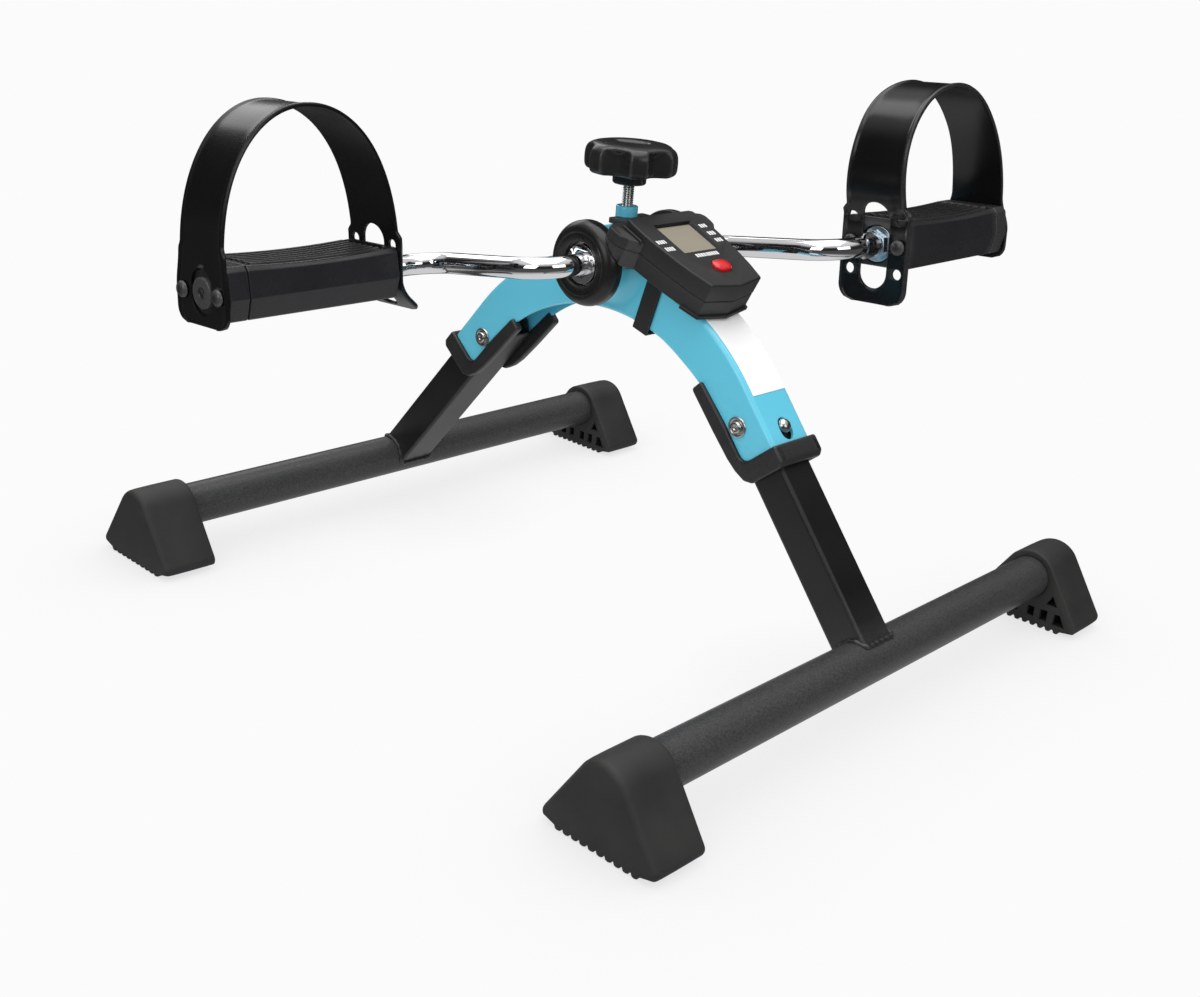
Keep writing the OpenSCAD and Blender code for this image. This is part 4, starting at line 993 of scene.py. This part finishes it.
def pedal(left):
    """Pedal with a ribbed tread, its end cap and the mushroom studs that hold the strap."""
    side, at, x0, x1, end = hand(left), at_pedal(left), PEDAL_IN, PEDAL_OUT, PEDAL_END
    section = [(-19, 15.2), (-21.4, 12.6), (-23, -0.9), (-19.6, -12.7), (19.6, -12.7), (23, -0.9), (21.4, 12.6),
               (19, 15.2)]
    section_r = [1.5, 2, 2.2, 1.6, 1.6, 2.2, 2, 1.5]
    bm = bmesh.new()
    pillow(bm, section, section_r, x0, x1 - 0.15, 0.7, parts=14)
    bm = bored(bm, (circle(0, 0, 6.35, 40), x0 - 3, x1 + 3, "X"), (circle(0, 0, 11.1, 40), x0 - 3, x0 + 2.4, "X"))
    for xa, xb, y, z in ((x0 + 5, x1 - 4, 18, 12.4), (x0 + 2.2, x0 + 8.4, 13, 9.5)):
        bm = bored(bm, (rounded([(xa, -y), (xb, -y), (xb, y), (xa, y)], 1.0, 3), z, 20))
    for i in range(RIBS):
        y = (i - RIBS // 2) * RIB_PITCH
        pillow(bm, [(y - 1.35, 12.2), (y + 1.35, 12.2), (y + 1.15, 16.1), (y - 1.15, 16.1)], [0, 0, 0.6, 0.6],
               x0 + 9, x1 - 4.6, 0.5, parts=14)
    dish(bm)
    stand_in("pedal_body_" + side, bm, "pedal_plastic", at, 32)
    bm = bmesh.new()
    pillow(bm, section, section_r, x1 + 0.15, end, 0.9)
    bm = bored(bm, (circle(0, 0, 10.5, 40), x1 - 1, end - 2, "X"))
    stand_in("pedal_end_cap_" + side, bm, "pedal_plastic", at, 32)
    studs = []
    for y in (STUD_OFF, -STUD_OFF):
        for x, way in ((x0, -1), (end, 1)):
            bm = lathe([(r, x + way * a) for r, a in STUD], 36)
            bm.transform(Matrix.Translation((0, y, 0)))
            studs.append(bm)
    studs.append(lathe([(r, end + a) for r, a in BOSS], 48))
    for k, bm in enumerate(studs):
        add("stud_%s_%d" % (side, k), bm, BODY["pedal_body_" + side], "pedal_plastic", at, smooth=45)


arch()
label()
for front in (True, False):
    guard(front)
    leg(front)
    stand_in("pivot_bolt_" + end_of(front), lathe(BOLT, 48), "steel", at_leg(front))
    bm = lathe(BUTTON, 48)
    bm.transform(Matrix.Translation((0, 0, BUTTON_Z)) @ Matrix.Rotation(math.radians(-90), 4, "Z"))
    stand_in("snap_button_" + end_of(front), bm, "steel", at_leg(front), 45)
for left in (True, False):
    pedal(left)
for name, width in (("tension_post", 0.7), ("counter_clip", 0.6), ("pedal_flange_left", 0.35),
                    ("pedal_flange_right", 0.35), ("pivot_nut_rear", 0.4), ("pivot_nut_front", 0.4), ("spindle", 0.5),
                    ("arm_lock_screws", 0.3)):
    soften(name, width)


# ---- weld beads

def weld(front):
    """A fillet of weld where the leg tube meets its ground bar."""
    bar = mid("ground_bar_" + end_of(front))
    at = at_leg(front)
    there = at.inverted() @ Vector((0, bar.y, bar.z))
    bar_r, hw, hd = 12.7, 12.5, 11.0
    outline = []
    for sx, sy, a in ((1, 1, 0), (-1, 1, 90), (-1, -1, 180), (1, -1, 270)):
        outline += arc(sx * (hw - 2), sy * (hd - 2), 2.3, a, a + 90, 5)
    line = []
    for i, (x, y) in enumerate(outline):
        x2, y2 = outline[(i + 1) % len(outline)]
        parts = max(1, int(math.hypot(x2 - x, y2 - y) / 0.8))
        for k in range(parts):
            px, py = x + (x2 - x) * k / parts, y + (y2 - y) * k / parts
            rise = math.sqrt(max(0.5, bar_r ** 2 - py * py))
            line.append(Vector((px, there.y + py, there.z + rise + 0.2)))
    rings, n = [], len(line)
    for i, p in enumerate(line):
        d = (line[(i + 1) % n] - line[i - 1]).normalized()
        side = d.cross(Vector((0, 0, 1))).normalized()
        up = side.cross(d).normalized()
        size = 1.55 + 0.16 * math.sin(i * 1.15) + 0.3 * noise.noise(p * 0.35)
        rings.append([p + side * (size * math.cos(t)) + up * (size * math.sin(t)) for t in steps_round(12)])
    bm = skin(rings, "join")
    add("weld_" + end_of(front), bm, BODY["leg_tube_" + end_of(front)], "black_paint", at, smooth=80)


for front in (True, False):
    weld(front)


# ---- studio, lights, camera

BACKDROP = (0.965, 0.965, 0.968, 1)
floor_mesh = bmesh.new()
bmesh.ops.create_grid(floor_mesh, x_segments=8, y_segments=8, size=9.0)
mesh = bpy.data.meshes.new("floor")
floor_mesh.to_mesh(mesh)
floor_mesh.free()
floor = bpy.data.objects.new("floor", mesh)
floor.location = (0, 0, -0.0002)
bpy.context.scene.collection.objects.link(floor)
paper = finish_of("floor", (0.72, 0.72, 0.72), 0.75, mottle=0.01, mottle_scale=3, grain=0.01, grain_scale=90,
                  edge=0, spec=0.1)
paper.cycles.emission_sampling = "NONE"
mesh.materials.append(paper)

# The camera sees a plain bright glowing floor with painted contact shade from an occlusion node, mirrors see a
# painted pool of light on it that fades away, and other light meets paper.
t = paper.node_tree
ray = node(t, "LightPath")
# Painted contact shadow: an ambient occlusion node darkens the floor's glow near the pieces.
shade = node(t, "AmbientOcclusion", samples=8, Distance=0.09)
tone = node(t, "Mix", data_type="RGBA", A=(0.70, 0.70, 0.71, 1), B=BACKDROP)
floor_glow_and_painted_shade = node(t, "Emission")
# Painted pool of light: in reflections the floor glows brightly near the middle and fades to dark further out.
spot = node(t, "NewGeometry")
far = node(t, "VectorMath", operation="LENGTH")
painted_light_falloff = node(t, "MapRange", interpolation_type="SMOOTHSTEP",
            **{"From Min": 0.16, "From Max": 0.46, "To Min": 0.66, "To Max": 0.07})
painted_floor_light = node(t, "Emission")
sort = node(t, "MixShader")
pick = node(t, "MixShader")
wire(t, (spot, "Position", far, 0), (far, "Value", painted_light_falloff, "Value"), (painted_light_falloff, "Result", painted_floor_light, "Strength"),
     (ray, "Is Glossy Ray", sort, "Fac"), (t.nodes["Principled BSDF"], "BSDF", sort, 1),
     (painted_floor_light, "Emission", sort, 2), (shade, "AO", tone, "Factor"), (tone, "Result", floor_glow_and_painted_shade, "Color"),
     (ray, "Is Camera Ray", pick, "Fac"), (sort, "Shader", pick, 1), (floor_glow_and_painted_shade, "Emission", pick, 2),
     (pick, "Shader", t.nodes["Material Output"], "Surface"))

# The camera sees a plain bright world, soft light meets an even one, and mirrors see a dark room with a lit ceiling.
world = bpy.data.worlds.new("studio")
bpy.context.scene.world = world
world.use_nodes = True
t = world.node_tree
t.nodes.clear()
out = node(t, "OutputWorld")
ray = node(t, "LightPath")
seen = node(t, "Background", Strength=1.0, Color=BACKDROP)
soft = node(t, "Background", Strength=0.62, Color=(1, 1, 1, 1))
room = node(t, "Background", Strength=1.0)
way = node(t, "TexCoord")
split = node(t, "SeparateXYZ")
ramp = node(t, "ValToRGB")
stops = ramp.color_ramp.elements
stops[0].position, stops[0].color = 0.0, (0.06, 0.06, 0.06, 1)
stops[1].position, stops[1].color = 1.0, (0.85, 0.85, 0.85, 1)
for at, v in ((0.05, 0.02), (0.42, 0.02), (0.52, 0.18), (0.64, 0.55)):
    stops.new(at).color = (v, v, v, 1)
sort = node(t, "MixShader")
mixed = node(t, "MixShader")
wire(t, (way, "Generated", split, "Vector"), (split, "Z", ramp, "Fac"), (ramp, "Color", room, "Color"),
     (ray, "Is Glossy Ray", sort, "Fac"), (soft, "Background", sort, 1), (room, "Background", sort, 2),
     (ray, "Is Camera Ray", mixed, "Fac"), (sort, "Shader", mixed, 1), (seen, "Background", mixed, 2),
     (mixed, "Shader", out, "Surface"))


def softbox(name, at, aim, size, power):
    """A large square light, its size and place in metres."""
    lamp = bpy.data.lights.new(name, "AREA")
    lamp.shape = "RECTANGLE"
    lamp.size, lamp.size_y = size
    lamp.energy = power
    o = bpy.data.objects.new(name, lamp)
    o.location = at
    o.rotation_mode = "QUATERNION"
    o.rotation_quaternion = (Vector(aim) - Vector(at)).to_track_quat("-Z", "Y")
    bpy.context.scene.collection.objects.link(o)


softbox("top_box", (-0.1, 0.1, 1.9), (0, 0, 0.1), (2.4, 1.8), 30)
softbox("left_box", (-1.7, -0.3, 0.9), (0, 0, 0.15), (1.0, 0.9), 7)
softbox("front_box", (-0.2, -1.9, 1.0), (0, 0, 0.15), (1.2, 0.9), 6)
softbox("back_box", (0.5, 1.8, 1.2), (0, 0, 0.15), (1.6, 0.7), 7)

# The camera stands off its target, in mm, by an azimuth from -Y, a height and a roll.
TARGET = Vector((50.8, 53.1, 28.2))
az, el, roll, dist = math.radians(-47.965), math.radians(21.436), math.radians(4.711), 970.9
back = Vector((math.sin(az) * math.cos(el), -math.cos(az) * math.cos(el), math.sin(el)))
x_axis = Vector((0, 0, 1)).cross(back).normalized()
y_axis = back.cross(x_axis)
x_cam = math.cos(roll) * x_axis + math.sin(roll) * y_axis
y_cam = -math.sin(roll) * x_axis + math.cos(roll) * y_axis
cam = bpy.data.objects.new("camera", bpy.data.cameras.new("camera"))
cam.data.lens = 44.53
cam.data.sensor_width = 36
cam.data.clip_start, cam.data.clip_end = 0.02, 60
cam.matrix_world = Matrix.Translation((TARGET + back * dist) * 0.001) @ \
    Matrix((x_cam, y_cam, back)).transposed().to_4x4()
bpy.context.scene.collection.objects.link(cam)
bpy.context.scene.camera = cam
bpy.context.scene.view_settings.view_transform = "Standard"
bpy.context.scene.view_settings.look = "None"
